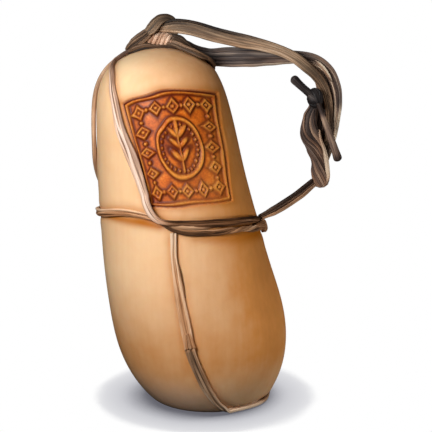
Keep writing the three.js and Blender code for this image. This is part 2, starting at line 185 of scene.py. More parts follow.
# How many points are compared with all the places at once.
BLOCK = 4000


def unit(vectors: Array) -> Array:
    """Returns the vectors at length one."""
    return vectors / np.maximum(np.linalg.norm(vectors, axis=-1, keepdims=True), SHORTEST)


def smooth(low: float, high: float, value: Array) -> Array:
    """Returns a rise from 0 at low to 1 at high, level at both: 3t^2 - 2t^3 of the share t of the way."""
    share = np.clip((value - low) / (high - low), 0.0, 1.0)
    return share * share * (3.0 - 2.0 * share)


def bell(distance: Array, width: float) -> Array:
    """Returns 1 at no distance, falling off as a bell curve of that width."""
    return np.exp(-((distance / width) ** 2))


def lengths(path: Array) -> Array:
    """Returns the length of a path from its first point to each of its points."""
    return np.concatenate([[0.0], np.cumsum(np.linalg.norm(np.diff(path, axis=0), axis=1))])


def square_to(ahead: Array, out: Array) -> Array:
    """Returns the outward directions turned square to those ahead."""
    return unit(out - ahead * (out * ahead).sum(axis=1, keepdims=True))


def through(points: Array, where: Array) -> Array:
    """Runs a line through points.

    Each stretch is a cubic, whose slope at an end weighs the neighbours by the root of their distance.

    Args:
        points: the points in order, one a row.
        where: places along the line, from 0 at the first point to 1 at the last, even in point number.

    Returns:
        One row for each place.
    """
    count = len(points) - 1
    spot = np.clip(where, 0.0, 1.0) * count
    index = np.minimum(spot.astype(int), count - 1)
    t = (spot - index)[:, None]
    padded = np.vstack([2 * points[0] - points[1], points, 2 * points[-1] - points[-2]])
    p0, p1, p2, p3 = (padded[index + k] for k in range(4))
    d0, d1, d2 = (np.sqrt(np.linalg.norm(step, axis=1))[:, None] for step in (p1 - p0, p2 - p1, p3 - p2))
    leave = ((p1 - p0) / d0 - (p2 - p0) / (d0 + d1) + (p2 - p1) / d1) * d1
    arrive = ((p2 - p1) / d1 - (p3 - p1) / (d1 + d2) + (p3 - p2) / d2) * d1
    cubic = 2 * p1 - 2 * p2 + leave + arrive
    square = -3 * p1 + 3 * p2 - 2 * leave - arrive
    return p1 + t * (leave + t * (square + t * cubic))


def eased(values: Array, where: Array) -> Array:
    """Eases from row to row: level at each, and a smooth rise from it to the next.

    Args:
        values: the rows' values.
        where: places from 0 at the first row to 1 at the last.

    Returns:
        One value for each place.
    """
    spot = np.clip(where, 0.0, 1.0) * (len(values) - 1)
    index = np.minimum(spot.astype(int), len(values) - 2)
    share = smooth(0.0, 1.0, spot - index)
    return values[index] * (1.0 - share) + values[index + 1] * share


def wander(along: Array, rng: np.random.Generator, longest: float) -> Array:
    """Returns a slow wander between about -1 and 1: sines of shortening wavelength with random phases.

    Args:
        along: lengths in millimetres.
        rng: the source of the phases.
        longest: the longest wavelength in millimetres.

    Returns:
        One value for each length.
    """
    order = np.arange(WAVES)[:, None]
    phase = rng.uniform(0.0, FULL_TURN, (WAVES, 1))
    angle = FULL_TURN * along[None, :] * (1.0 + WAVE_QUICKER * order) / longest + phase
    return (np.sin(angle) / (1.0 + WAVE_LOWER * order)).sum(axis=0) / WAVE_SUM


def nearest(points: Array, places: Array) -> tuple[Array, Array]:
    """Finds each point's nearest place, in blocks: squared distance is p.p - 2p.q + q.q.

    Args:
        points: the points, one a row.
        places: the places, one a row.

    Returns:
        Distances, and the number of each nearest place.
    """
    distance, number = [], []
    square = (places**2).sum(axis=1)
    for block in np.array_split(points, len(points) // BLOCK + 1):
        gap = (block**2).sum(axis=1)[:, None] - 2.0 * block @ places.T + square[None, :]
        best = gap.argmin(axis=1)
        number.append(best)
        distance.append(np.sqrt(np.maximum(np.take_along_axis(gap, best[:, None], 1)[:, 0], 0.0)))
    return np.concatenate(distance), np.concatenate(number)


def linear(code: str) -> tuple[float, float, float, float]:
    """Turns an sRGB hex code such as #E8C48F into a linear colour with full alpha.

    Args:
        code: the hex code.

    Returns:
        Red, green, blue and alpha.
    """
    share = np.array([int(code[i : i + 2], 16) for i in (1, 3, 5)]) / 255.0
    value = np.where(share <= 0.04045, share / 12.92, ((share + 0.055) / 1.055) ** 2.4)
    return (float(value[0]), float(value[1]), float(value[2]), 1.0)


def plug(node: bpy.types.Node, inputs: dict) -> None:
    """Links each named or numbered input of a node to a socket, or sets it to a value.

    Args:
        node: the node.
        inputs: input name or number to a socket or a value.
    """
    for key, value in inputs.items():
        if isinstance(value, Socket):
            node.id_data.links.new(value, node.inputs[key])
        else:
            node.inputs[key].default_value = value


def add(tree: Tree, kind: str, inputs: dict | None = None, **settings) -> bpy.types.Node:
    """Adds a node to a tree.

    Args:
        tree: the tree it goes in.
        kind: the node's type name.
        inputs: input name or number to a socket, which is linked, or to a value, which is set.
        settings: properties of the node.

    Returns:
        The node.
    """
    node = tree.nodes.new(kind)
    for name, value in settings.items():
        setattr(node, name, value)
    plug(node, inputs or {})
    return node


def attribute(tree: Tree, name: str, output: str = "Fac") -> Socket:
    """Adds a value that the mesh holds at each point."""
    return add(tree, "ShaderNodeAttribute", attribute_name=name).outputs[output]


def noise(tree: Tree, place: Socket, size: float | Triple, detail: float) -> Socket:
    """Adds a noise pattern.

    Args:
        tree: the tree it goes in.
        place: the place that picks the value.
        size: how large its patches are, one for every way or one for each axis, in the place's own unit.
        detail: how many finer layers it has.

    Returns:
        Its value, from 0 to 1.
    """
    if isinstance(size, tuple):
        scale = tuple(1.0 / one for one in size)
        place = add(tree, "ShaderNodeMapping", {"Vector": place, "Scale": scale}).outputs[0]
        size = 1.0
    inputs = {"Vector": place, "Scale": 1.0 / size, "Detail": detail}
    return add(tree, "ShaderNodeTexNoise", inputs).outputs["Fac"]


def swung(tree: Tree, level: Socket, pattern: Socket, amount: float, clamp: bool = False) -> Socket:
    """Adds a pattern to a level, swung evenly to both sides by an amount, and clamps it if asked.

    Args:
        tree: the tree it goes in.
        level: what it is added to.
        pattern: the pattern, from 0 to 1.
        amount: how far it swings in all.
        clamp: whether the sum is kept within 0 and 1.

    Returns:
        The sum.
    """
    sizes = {0: pattern, 1: amount, 2: -amount / 2}
    shift = add(tree, "ShaderNodeMath", sizes, operation="MULTIPLY_ADD").outputs[0]
    return add(tree, "ShaderNodeMath", {0: level, 1: shift}, operation="ADD", use_clamp=clamp).outputs[0]


def ramp(tree: Tree, level: Socket, codes: Codes, places: tuple[float, ...] | Array = ()) -> Socket:
    """Adds a colour ramp.

    Args:
        tree: the tree it goes in.
        level: what picks the colour, from 0 to 1.
        codes: its hex colours.
        places: where they lie; with none they are evenly spaced.

    Returns:
        The colour.
    """
    node = add(tree, "ShaderNodeValToRGB", {"Fac": level})
    elements = node.color_ramp.elements
    spots = places if len(places) else np.linspace(0.0, 1.0, len(codes))
    for number, (place, code) in enumerate(zip(spots, codes)):
        element = elements[number] if number < len(elements) else elements.new(place)
        element.position = place
        element.color = linear(code)
    return node.outputs[0]


def mixed(tree: Tree, share: Socket, first: Socket, second: Socket | str) -> Socket:
    """Adds a blend from the first colour to the second, a socket or a hex code, by a share from 0 to 1."""
    goal = linear(second) if isinstance(second, str) else second
    return add(tree, "ShaderNodeMix", {0: share, 6: first, 7: goal}, data_type="RGBA").outputs[2]


def bump(tree: Tree, height: Socket, size: Pair, under: Socket | None = None) -> Socket:
    """Adds a bump of a strength and a depth in millimetres, on top of another one if given.

    Args:
        tree: the tree it goes in.
        height: the pattern that stands for the height.
        size: its strength, and its depth in millimetres.
        under: the bump it lies on, if any.

    Returns:
        The normal it gives.
    """
    inputs = {"Height": height, "Strength": size[0], "Distance": size[1] * MM}
    if under is not None:
        inputs["Normal"] = under
    return add(tree, "ShaderNodeBump", inputs).outputs[0]


def new_material(name: str) -> tuple[bpy.types.Material, Tree, bpy.types.Node]:
    """Makes a material with the usual shader.

    Args:
        name: the material's name.

    Returns:
        The material, its tree and its main shader.
    """
    material = bpy.data.materials.new(name)
    material.use_nodes = True
    return material, material.node_tree, material.node_tree.nodes["Principled BSDF"]


@dataclass
class Shell:
    """A closed surface: points, four-sided faces, end caps and a value of each kind at each point."""

    points: Array
    quads: Array
    caps: list[list[int]]
    values: dict[str, Array]

    def mesh(self, name: str) -> Piece:
        """Puts the surface into a new smooth mesh object in metres and links it to the scene.

        Args:
            name: the object's name.

        Returns:
            The object.
        """
        mesh = bpy.data.meshes.new(name)
        mesh.from_pydata((self.points * MM).tolist(), [], self.quads.tolist() + self.caps)
        mesh.polygons.foreach_set("use_smooth", np.ones(len(mesh.polygons), dtype=bool))
        for kind, value in self.values.items():
            flat = value.ndim == 1
            held = mesh.attributes.new(kind, "FLOAT" if flat else "FLOAT_VECTOR", "POINT")
            held.data.foreach_set("value" if flat else "vector", value.astype(np.float32).ravel())
        mesh.update()
        piece = bpy.data.objects.new(name, mesh)
        bpy.context.scene.collection.objects.link(piece)
        return piece


def joined(shells: list[Shell]) -> Shell:
    """Joins surfaces into one that holds them all.

    Args:
        shells: the surfaces.

    Returns:
        The one surface.
    """
    starts = np.cumsum([0] + [len(shell.points) for shell in shells[:-1]])
    return Shell(
        np.vstack([shell.points for shell in shells]),
        np.vstack([shell.quads + start for shell, start in zip(shells, starts)]),
        [[int(i + start) for i in cap] for shell, start in zip(shells, starts) for cap in shell.caps],
        {kind: np.concatenate([shell.values[kind] for shell in shells]) for kind in shells[0].values},
    )


def tube_faces(rows: int, sides: int, ring: bool) -> Array:
    """Faces of a tube: each point joins its neighbour round the section and the same two on the next row.

    Args:
        rows: how many sections there are.
        sides: how many points a section has.
        ring: whether the last section joins the first.

    Returns:
        One four-sided face a row, as point numbers that turn outwards.
    """
    row, side = np.meshgrid(np.arange(rows if ring else rows - 1), np.arange(sides), indexing="ij")
    here, ahead = row * sides, (row + 1) % rows * sides
    beside = (side + 1) % sides
    return np.stack([here + side, here + beside, ahead + beside, ahead + side], -1).reshape(-1, 4)


@dataclass(frozen=True)
class CheeseForm:
    """The cheese's form: rings square to a leaning, bowed axis, full at the heel and flatter at the crown."""

    length: float = 271.0
    radius: float = 69.0
    taper: float = 0.386
    heel: Pair = (4.0, 1.33)
    crown: Pair = (11.0, 1.8)
    lean: float = np.radians(10.0)
    bow: float = 6.2
    kick: float = 8.0
    kick_fade: float = 8.0
    foot_x: float = 24.0
    foot_depth: float = 19.2
    normal_step: float = 0.002
    normal_span: Pair = (0.0005, 0.9995)

    def axis(self, share: Array) -> Array:
        """Places on the axis: straight up the lean, less a bow of 4s(1-s), plus a heel kick of (1-s)^fade.

        Args:
            share: shares up the axis.

        Returns:
            One place for each share.
        """
        along = share * self.length
        bow = -self.bow * 4.0 * share * (1.0 - share)
        kick = self.kick * (1.0 - share) ** self.kick_fade
        x = self.foot_x + kick - along * np.sin(self.lean) + bow * np.cos(self.lean)
        z = -self.foot_depth + along * np.cos(self.lean) + bow * np.sin(self.lean)
        return np.stack([x, np.zeros_like(x), z], -1)

    def right(self, share: Array) -> Array:
        """Directions square to the bowed axis in the plane of the lean, pointing to the right.

        Args:
            share: shares up the axis.

        Returns:
            One direction for each share.
        """
        bow = -self.bow * 4.0 * (1.0 - 2.0 * share)
        x = -self.length * np.sin(self.lean) + bow * np.cos(self.lean)
        z = self.length * np.cos(self.lean) + bow * np.sin(self.lean)
        return unit(np.stack([z, np.zeros_like(x), -x], -1))

    def ring(self, share: Array) -> Array:
        """Ring radii: a taper times (1 - h^fullness)^(1/round), where h is the distance from the middle.

        Args:
            share: shares up the axis.

        Returns:
            One radius for each share.
        """
        reach = np.abs(2.0 * share - 1.0)
        low = share < 0.5
        fullness = np.where(low, self.heel[0], self.crown[0])
        rounding = np.where(low, self.heel[1], self.crown[1])
        cap = np.maximum(1.0 - reach**fullness, 0.0) ** (1.0 / rounding)
        return self.radius * (1.0 - self.taper * share) * cap

    def skin(self, share: Array, angle: Array) -> Array:
        """Places on the skin: a ring's radius from the axis, at an angle from the right round by the back.

        Args:
            share: shares up the axis.
            angle: angles in radians, from the right round by the back.

        Returns:
            One place for each share and angle.
        """
        radius = self.ring(share)
        place = self.axis(share) + self.right(share) * (radius * np.cos(angle))[..., None]
        place[..., 1] += radius * np.sin(angle)
        return place

    def normal(self, share: Array, angle: Array) -> Array:
        """Outward directions of the skin, from a short step round it and one up it.

        Args:
            share: shares up the axis.
            angle: angles in radians, from the right round by the back.

        Returns:
            One direction for each share and angle.
        """
        step = self.normal_step
        low = np.maximum(share - step, self.normal_span[0])
        high = np.minimum(share + step, self.normal_span[1])
        up = self.skin(high, angle) - self.skin(low, angle)
        round_it = self.skin(share, angle + step) - self.skin(share, angle - step)
        return unit(np.cross(round_it, up))


FORM = CheeseForm()


@dataclass
class Line:
    """A run in samples: places, outward and sideways directions, half widths, shares and lengths so far."""

    place: Array
    out: Array
    side: Array
    half: Array
    where: Array
    along: Array


def rod(centre: Triple, ahead: Array, length: float, samples: int) -> Line:
    """Makes a straight run, whose broad side faces the front.

    Args:
        centre: its middle.
        ahead: its direction.
        length: how long it is.
        samples: how many samples it has.

    Returns:
        The samples, with no width of their own.
    """
    along = np.linspace(0.0, length, samples)
    place = np.array(centre) + np.outer(along - length / 2, ahead)
    out = np.broadcast_to(FRONT, place.shape)
    return Line(place, out, np.cross(ahead, out), np.zeros_like(along), along / length, along)


@dataclass(frozen=True)
class Route:
    """A tie's hand-laid run, whose rows end with a width, and how far it reaches beyond both ends."""

    rows: Rows
    thick: float
    reach: Pair = (0.0, 0.0)
    floor_gap: float = 0.35
    skin_gap: float = 0.25
    girth: float = 55.0
    foot_turn: Pair = (2.0, 6.0)
    dense: int = 1600
    tip: tuple[float, ...] = (0.0, 0.12, 0.35, 0.7, 1.15)
    tip_gap: float = 0.5
    fewest: int = 8
    end_stretch: int = 9

    def width(self, where: Array) -> Array:
        """Widths of the tie, level at each row."""
        return eased(np.array([row[3] for row in self.rows]), where)

    def run(self, where: Array) -> tuple[Array, Array]:
        """Places and outward directions of a free tie, whose broad side faces the front."""
        place = through(np.array([row[:3] for row in self.rows]), where)
        return place, np.broadcast_to(FRONT, place.shape)

    def line(self, step: float) -> Line:
        """Samples the run at even lengths, with closer samples at the two ends where a strand rounds off.

        Args:
            step: the length between two samples in millimetres.

        Returns:
            The samples.
        """
        dense = np.linspace(0.0, 1.0, self.dense)
        path = self.run(dense)[0]
        length = lengths(path)
        first, last = -self.reach[0], length[-1] + self.reach[1]
        tip = np.array(self.tip)
        room = tip[-1] + self.tip_gap
        middle = np.linspace(first + room, last - room, max(int((last - first) / step), self.fewest))
        along = np.concatenate([first + tip, middle, last - tip[::-1]])
        kept = np.clip(along, 0.0, length[-1])
        where = np.interp(kept, length, dense)
        place, out = self.run(where)
        beyond = (along - kept)[:, None]
        into = unit(path[self.end_stretch] - path[0])
        onward = unit(path[-1] - path[-1 - self.end_stretch])
        place = place + beyond * np.where(beyond < 0.0, into, onward)
        ahead = unit(np.gradient(place, along, axis=0))
        out = square_to(ahead, out)
        return Line(place, out, np.cross(ahead, out), self.width(where) / 2.0, where, along - first)


class HeldRoute(Route):
    """A tie that lies on the cheese. Rows: share up the axis, angle in degrees, lift off the skin, width."""

    def spot(self, where: Array) -> tuple[Array, Array]:
        """Shares and angles of the run, laid out flat so that both count as lengths.

        Args:
            where: shares of the run, from 0 to 1.

        Returns:
            Shares up the axis, and angles.
        """
        flat = np.array([(row[0] * FORM.length, np.radians(row[1]) * self.girth) for row in self.rows])
        laid = through(flat, where)
        return laid[:, 0] / FORM.length, laid[:, 1] / self.girth

    def run(self, where: Array) -> tuple[Array, Array]:
        """Places half the thickness and the lift off the skin, and outward directions, down at the floor.

        Args:
            where: shares of the run, from 0 to 1.

        Returns:
            Places and directions, one of each for a share.
        """
        share, angle = self.spot(where)
        half = np.minimum(self.thick, self.width(where)) / 2.0
        lift = eased(np.array([row[2] for row in self.rows]), where)
        normal = FORM.normal(share, angle)
        place = FORM.skin(share, angle) + normal * (self.skin_gap + half + lift)[:, None]
        down = 1.0 - smooth(*self.foot_turn, place[:, 2])[:, None]
        place[:, 2] = np.maximum(place[:, 2], self.floor_gap + half)
        return place, normal * (1.0 - down) - UP * down


class Rush(Enum):
    """The three shades of dried rush, each named for its material slot."""

    PALE = "pale_rush"
    BROWN = "brown_rush"
    DARK = "dark_rush"


@dataclass(frozen=True)
class RushFinish:
    """Dried rush: split stems of long satin fibres, dark in the hollows, bleached or warm on the ridges.

    The fibres are really about 0.3 mm apart and are drawn at 0.7 mm, so that they show in the picture.
    They give the eye fine streaks along each strand, and the patches lighter and darker stretches.
    """

    name: str
    shades: Codes = ("#211A16", "#4B3F35", "#7D6955", "#B59A7F", "#E3CEB6")
    warms: Codes = ("#23150C", "#543620", "#90603C", "#CC9468", "#EAC39E")
    fibre_mm: Triple = (34.0, 0.7, 0.7)
    fibre_swing: float = 0.85
    fibre_bump: Pair = (0.5, 0.4)
    patch_mm: Triple = (21.0, 7.0, 7.0)
    patch_swing: float = 0.5
    rough: float = 0.55
    gloss: float = 0.2

    def material(self) -> bpy.types.Material:
        """Makes the material: tone and fibres pick a shade, and the tint leads to the warm ones.

        Returns:
            The material.
        """
        material, tree, shader = new_material(self.name)
        grain = attribute(tree, "grain", "Vector")
        fibre = noise(tree, grain, self.fibre_mm, 3.0)
        patch = noise(tree, grain, self.patch_mm, 2.0)
        level = swung(tree, attribute(tree, "tone"), fibre, self.fibre_swing)
        level = swung(tree, level, patch, self.patch_swing, clamp=True)
        plain, warm = (ramp(tree, level, codes) for codes in (self.shades, self.warms))
        plug(shader, {
            "Base Color": mixed(tree, attribute(tree, "tint"), plain, warm),
            "Normal": bump(tree, fibre, self.fibre_bump),
            "Roughness": self.rough,
            "Specular IOR Level": self.gloss,
        })
        return material


RUSH_FINISHES = {
    Rush.PALE: RushFinish("dried_pale_rush", ("#2A1C16", "#5A4438", "#8E7363", "#BF9F8B", "#E8D0C0")),
    Rush.BROWN: RushFinish("dried_brown_rush"),
    Rush.DARK: RushFinish("dried_dark_rush", ("#1B1819", "#3E3837", "#6C605A", "#A89480", "#DECBB2")),
}


@dataclass(frozen=True)
class RindFinish:
    """Smoked stretched-curd rind: brined, dried and rubbed with oil, so it is waxy and a little clear.

    Smoke takes it from straw to ochre, and the same ochre paints shade on the sides turned from the light;
    there are clouds about 45 mm across, mottling of 9 mm, drip streaks 4 mm wide and pores 1.4 mm apart. The
    heel has a grey film of painted floor bounce and shade, the ties leave ochre staining with painted shade
    beside them, and the panel is toasted red with charred outlines that also paint the shade round its raised
    marks.
    """

    name: str = "smoked_cheese_rind"
    # Straw to ochre: the browning from smoking, and also the painted shade on the sides turned from the light.
    browning_shades: Codes = ("#F3D0A4", "#E6B484", "#D08A48", "#A0622C")
    # Ochre staining with painted shade beside and under the ties.
    stain: str = "#B26616"
    # A grey film at the heel: painted floor bounce and shade.
    heel_bounce: str = "#CCAE9A"
    ground: Codes = ("#9C3E0C", "#D26818", "#EC983C")
    # Charring, which also paints the shade round the raised marks.
    char: str = "#541606"
    cloud_mm: float = 45.0
    cloud_swing: float = 0.3
    mottle_mm: float = 9.0
    mottle_swing: float = 0.16
    mottle_bump: Pair = (0.25, 0.6)
    streak_mm: Triple = (4.0, 4.0, 60.0)
    streak_swing: float = 0.12
    pore_mm: float = 1.4
    pore_bump: Pair = (0.18, 0.25)
    # The panel ground's level: the lit marks' tops raise it as a painted highlight, with wear, mottling and pores.
    ground_and_highlight: Pair = (0.45, 0.4)
    heat_mottle: float = 1.3
    heat_pore: float = 0.9
    rough: float = 0.45
    gloss: float = 0.18
    depth: float = 0.15
    depth_colour: Triple = (1.0, 0.5, 0.2)
    depth_mm: float = 4.0
    coat: float = 0.03
    coat_rough: float = 0.3

    def material(self) -> bpy.types.Material:
        """Makes the material: the rind's colour, the stain and bloom on it, and the panel's own over them.

        Returns:
            The material.
        """
        material, tree, shader = new_material(self.name)
        place = add(tree, "ShaderNodeTexCoord").outputs["Object"]
        cloud = noise(tree, place, self.cloud_mm * MM, 2.0)
        mottle = noise(tree, place, self.mottle_mm * MM, 3.0)
        pore = noise(tree, place, self.pore_mm * MM, 2.0)
        streak = noise(tree, place, tuple(size * MM for size in self.streak_mm), 2.0)
        # The browning level: smoking plus painted shade on the right and low sides and a painted highlight top left.
        level = swung(tree, attribute(tree, "toast"), cloud, self.cloud_swing)
        level = swung(tree, level, mottle, self.mottle_swing)
        level = swung(tree, level, streak, self.streak_swing)
        # Ochre staining with painted shade beside the ties.
        rind = mixed(tree, attribute(tree, "stain"), ramp(tree, level, self.browning_shades), self.stain)
        # The grey film on the heel: painted floor bounce and shade.
        rind = mixed(tree, attribute(tree, "dull"), rind, self.heel_bounce)
        # The raised marks' tops drawn lighter: a painted highlight.
        sizes = {0: attribute(tree, "lit"), 1: self.ground_and_highlight[0], 2: self.ground_and_highlight[1]}
        ground_and_highlight = add(tree, "ShaderNodeMath", sizes, operation="MULTIPLY_ADD").outputs[0]
        ground_and_highlight = swung(tree, ground_and_highlight, mottle, self.heat_mottle)
        ground_and_highlight = swung(tree, ground_and_highlight, pore, self.heat_pore)
        # Charred outlines, which also paint the crevice shade of the panel.
        burnt_and_shaded = mixed(tree, attribute(tree, "char"), ramp(tree, ground_and_highlight, self.ground), self.char)
        plug(shader, {
            "Base Color": mixed(tree, attribute(tree, "panel"), rind, burnt_and_shaded),
            "Normal": bump(tree, mottle, self.mottle_bump, bump(tree, pore, self.pore_bump)),
            "Roughness": self.rough,
            "Specular IOR Level": self.gloss,
            "Subsurface Weight": self.depth,
            "Subsurface Radius": self.depth_colour,
            "Subsurface Scale": self.depth_mm * MM,
            "Coat Weight": self.coat,
            "Coat Roughness": self.coat_rough,
        })
        return material


@dataclass(frozen=True)
class PressedPanel:
    """A panel pressed into the front, laid out from four corners: a lozenge border, an oval and a sprig.

    Corners, arch, size, depth, rim and beads are in millimetres. The marks' places and sizes are shares of
    the panel's width and height.
    """

    low_left: Pair = (-25.5, 147.0)
    low_right: Pair = (29.7, 149.0)
    top_left: Pair = (-43.5, 214.5)
    top_right: Pair = (19.5, 220.0)
    arch: float = 7.0
    size: Pair = (59.0, 70.0)
    depth: float = 1.5
    newton_steps: int = 6
    beyond: Pair = (-0.6, 1.6)
    border: Pair = (0.025, 0.05)
    lozenge_in: float = 0.135
    lozenge_steps: int = 4
    lozenge: Pair = (0.068, 0.068)
    lozenge_slope: float = 0.7
    lozenge_rim: float = 1.3
    bead: float = 1.1
    oval: Pair = (0.26, 0.27)
    oval_wide: float = 0.036
    oval_beads: int = 26
    oval_bead: float = 0.7
    oval_bead_in: float = 0.75
    stem: Triple = (0.3, 0.66, 0.024)
    leaf: Pair = (0.068, 0.024)
    leaf_step: float = 0.1
    leaf_pairs: int = 3
    leaf_tilt: float = np.radians(42.0)
    leaf_top: float = 0.03
    waver: float = 0.006
    waver_across: Pair = (0.43, 0.17)
    waver_up: Pair = (0.21, 0.39)
    waver_phase: Pair = (0.4, 1.9)
    # Charring round the marks' feet and inside the sunk edge, which also paints the shade in these crevices.
    outline: Pair = (0.6, 1.15)
    rim: Pair = (0.3, 0.7)
    burn_and_shade: Pair = (0.95, 0.6)
    worn_way: Pair = (0.65, 0.45)
    worn_span: Pair = (0.45, 1.1)
    wear: Triple = (0.18, 0.4, 0.3)
    edge_span: Pair = (-0.9, 0.7)
    glow: float = 3.0
    far: float = 50.0

    def spot(self, x: Array, z: Array) -> tuple[Array, Array]:
        """Finds places on the panel: the corner blend plus an arch of 4a(1-a)u, solved by Newton steps.

        Args:
            x: places across, in millimetres.
            z: heights, in millimetres.

        Returns:
            Shares across from the left and up from the foot of the panel, outside 0 to 1 beyond it.
        """
        a, u = np.full_like(x, 0.5), np.full_like(x, 0.5)
        ll, lr, tl, tr = (np.array(c) for c in (self.low_left, self.low_right, self.top_left, self.top_right))
        for _ in range(self.newton_steps):
            low = ll + np.multiply.outer(a, lr - ll)
            top = tl + np.multiply.outer(a, tr - tl)
            rise = self.arch * 4 * a * (1 - a)
            miss_x = low[:, 0] * (1 - u) + top[:, 0] * u - x
            miss_z = low[:, 1] * (1 - u) + top[:, 1] * u + rise * u - z
            across = np.multiply.outer(1 - u, lr - ll) + np.multiply.outer(u, tr - tl)
            xa, za = across[:, 0], across[:, 1] + self.arch * 4 * (1 - 2 * a) * u
            xu, zu = top[:, 0] - low[:, 0], top[:, 1] - low[:, 1] + rise
            turn = xa * zu - xu * za
            a = np.clip(a - (miss_x * zu - miss_z * xu) / turn, *self.beyond)
            u = np.clip(u - (miss_z * xa - miss_x * za) / turn, *self.beyond)
        return a, u

    def edge(self, a: Array, u: Array) -> Array:
        """Distances in from the panel's edge, in millimetres."""
        return np.minimum(np.minimum(a, 1 - a) * self.size[0], np.minimum(u, 1 - u) * self.size[1])

    def lozenges(self, along: Array, cross: Array, sizes: Pair) -> Array:
        """Distances to two opposite rows of hollow lozenges, with a bead in each and one between each two.

        Args:
            along: shares along the rows.
            cross: shares across them.
            sizes: the panel's size along and across them, in millimetres.

        Returns:
            Millimetres to the nearest mark, negative inside.
        """
        step = (1 - 2 * self.lozenge_in) / self.lozenge_steps
        off = []
        for shift, last in ((0.0, self.lozenge_steps), (0.5, self.lozenge_steps - 1)):
            number = np.clip(np.round((along - self.lozenge_in) / step - shift), 0, last)
            off.append(np.abs(along - self.lozenge_in - (number + shift) * step) * sizes[0])
        away = (np.minimum(cross, 1 - cross) - self.lozenge_in) * sizes[1]
        wide, tall = (share * size for share, size in zip(self.lozenge, self.size))
        rhomb = (off[0] / wide + np.abs(away) / tall - 1) * self.lozenge_slope * wide
        beads = np.hypot(np.minimum(*off), away) - self.bead
        return np.minimum(np.maximum(rhomb, -rhomb - self.lozenge_rim), beads)

    def ring(self, a: Array, u: Array) -> Array:
        """Distances to the oval and to the ring of beads inside it.

        Args:
            a: shares across the panel from the left.
            u: shares up it from its foot.

        Returns:
            Millimetres to the nearest mark, negative inside.
        """
        dx, dy = (a - 0.5) / self.oval[0], (u - 0.5) / self.oval[1]
        reach = np.hypot(dx, dy)
        mean = (self.oval[0] * self.size[0] + self.oval[1] * self.size[1]) / 2
        band = np.maximum(reach - 1, 1 - self.oval_wide / self.oval[0] - reach) * mean
        turn = FULL_TURN / self.oval_beads
        off = np.abs(np.remainder(np.arctan2(dy, dx), turn) - turn / 2) * reach * mean
        beads = np.hypot(off, (reach - self.oval_bead_in) * mean) - self.oval_bead * self.bead
        return np.minimum(band, beads)

    def sprig(self, a: Array, u: Array) -> Array:
        """Distances to the sprig: a straight stem, pairs of slanting oval leaves and one leaf on top.

        Args:
            a: shares across the panel from the left.
            u: shares up it from its foot.

        Returns:
            Millimetres to the nearest mark, negative inside.
        """
        foot, top, stem_wide = self.stem
        long, wide = self.leaf
        found = np.maximum(np.abs(a - 0.5) - stem_wide / 2, np.maximum(foot - u, u - top)) * self.size[0]
        leaves = [(0.5, top + self.leaf_top, np.pi / 2)]
        for pair in range(1, self.leaf_pairs + 1):
            rise = foot + pair * self.leaf_step + long * np.sin(self.leaf_tilt)
            reach = long * np.cos(self.leaf_tilt)
            leaves += [(0.5 + reach, rise, self.leaf_tilt), (0.5 - reach, rise, np.pi - self.leaf_tilt)]
        for centre_a, centre_u, tilt in leaves:
            da, du = a - centre_a, u - centre_u
            run = da * np.cos(tilt) + du * np.sin(tilt)
            off = du * np.cos(tilt) - da * np.sin(tilt)
            blade = (np.hypot(run / long, off / wide) - 1) * wide * self.size[0]
            found = np.minimum(found, blade)
        return found

    def marks(self, a: Array, u: Array) -> Array:
        """Distances to the raised marks, negative inside: the least of all the marks' own.

        Args:
            a: shares across the panel from the left.
            u: shares up it from its foot.

        Returns:
            Millimetres to the nearest mark, negative inside.
        """
        inner, outer = (share * self.size[0] for share in self.border)
        border = np.abs(self.edge(a, u) - (inner + outer) / 2) - (outer - inner) / 2
        rows = (self.lozenges(a, u, self.size), self.lozenges(u, a, self.size[::-1]))
        return np.minimum.reduce([border, *rows, self.ring(a, u), self.sprig(a, u)])

    def fields(self, points: Array) -> dict[str, Array]:
        """Works out the panel over the front of the cheese.

        Args:
            points: places on the skin in millimetres.

        Returns:
            panel, 1 inside it; sunk, the depth pressed in; char, the charred outlines, which also paint the shade
            round the marks' feet and inside the sunk edge; lit, the marks' tops drawn lighter as a painted highlight,
            plus the wear; near, how close a place outside is to the edge. The panel's toasted colour wears off towards
            the lower right.
        """
        a, u = self.spot(points[:, 0], points[:, 2])
        sway = np.array([self.waver_across, (0.0, 0.0), self.waver_up])
        waver = self.waver * np.sin(points @ sway + np.array(self.waver_phase))
        a, u = a + waver[:, 0], u + waver[:, 1]
        edge = np.where(points[:, 1] < 0, self.edge(a, u), -self.far)
        inside = smooth(-0.5, 0.5, edge)
        mark = self.marks(a, u)
        top = smooth(0.5, -0.5, mark)
        # Charring at the marks' feet and inside the panel's sunk edge, partly painted crevice shade.
        burnt_and_shaded = self.burn_and_shade[0] * bell(mark - self.outline[0], self.outline[1])
        burnt_and_shaded = burnt_and_shaded + self.burn_and_shade[1] * bell(edge - self.rim[0], self.rim[1])
        worn = smooth(*self.worn_span, self.worn_way[0] * a + self.worn_way[1] * (1 - u))
        return {
            "panel": smooth(*self.edge_span, edge) * (1 - self.wear[0] * worn),
            "sunk": self.depth * inside * (1 - top),
            "char": inside * np.clip(burnt_and_shaded, 0, 1) * (1 - self.wear[1] * worn),
            # The raised marks' tops drawn lighter as a painted highlight, plus the wear towards the lower right.
            "lit": top * inside + self.wear[2] * worn,
            "near": np.where(edge < 0, bell(edge, self.glow), 0.0),
        }


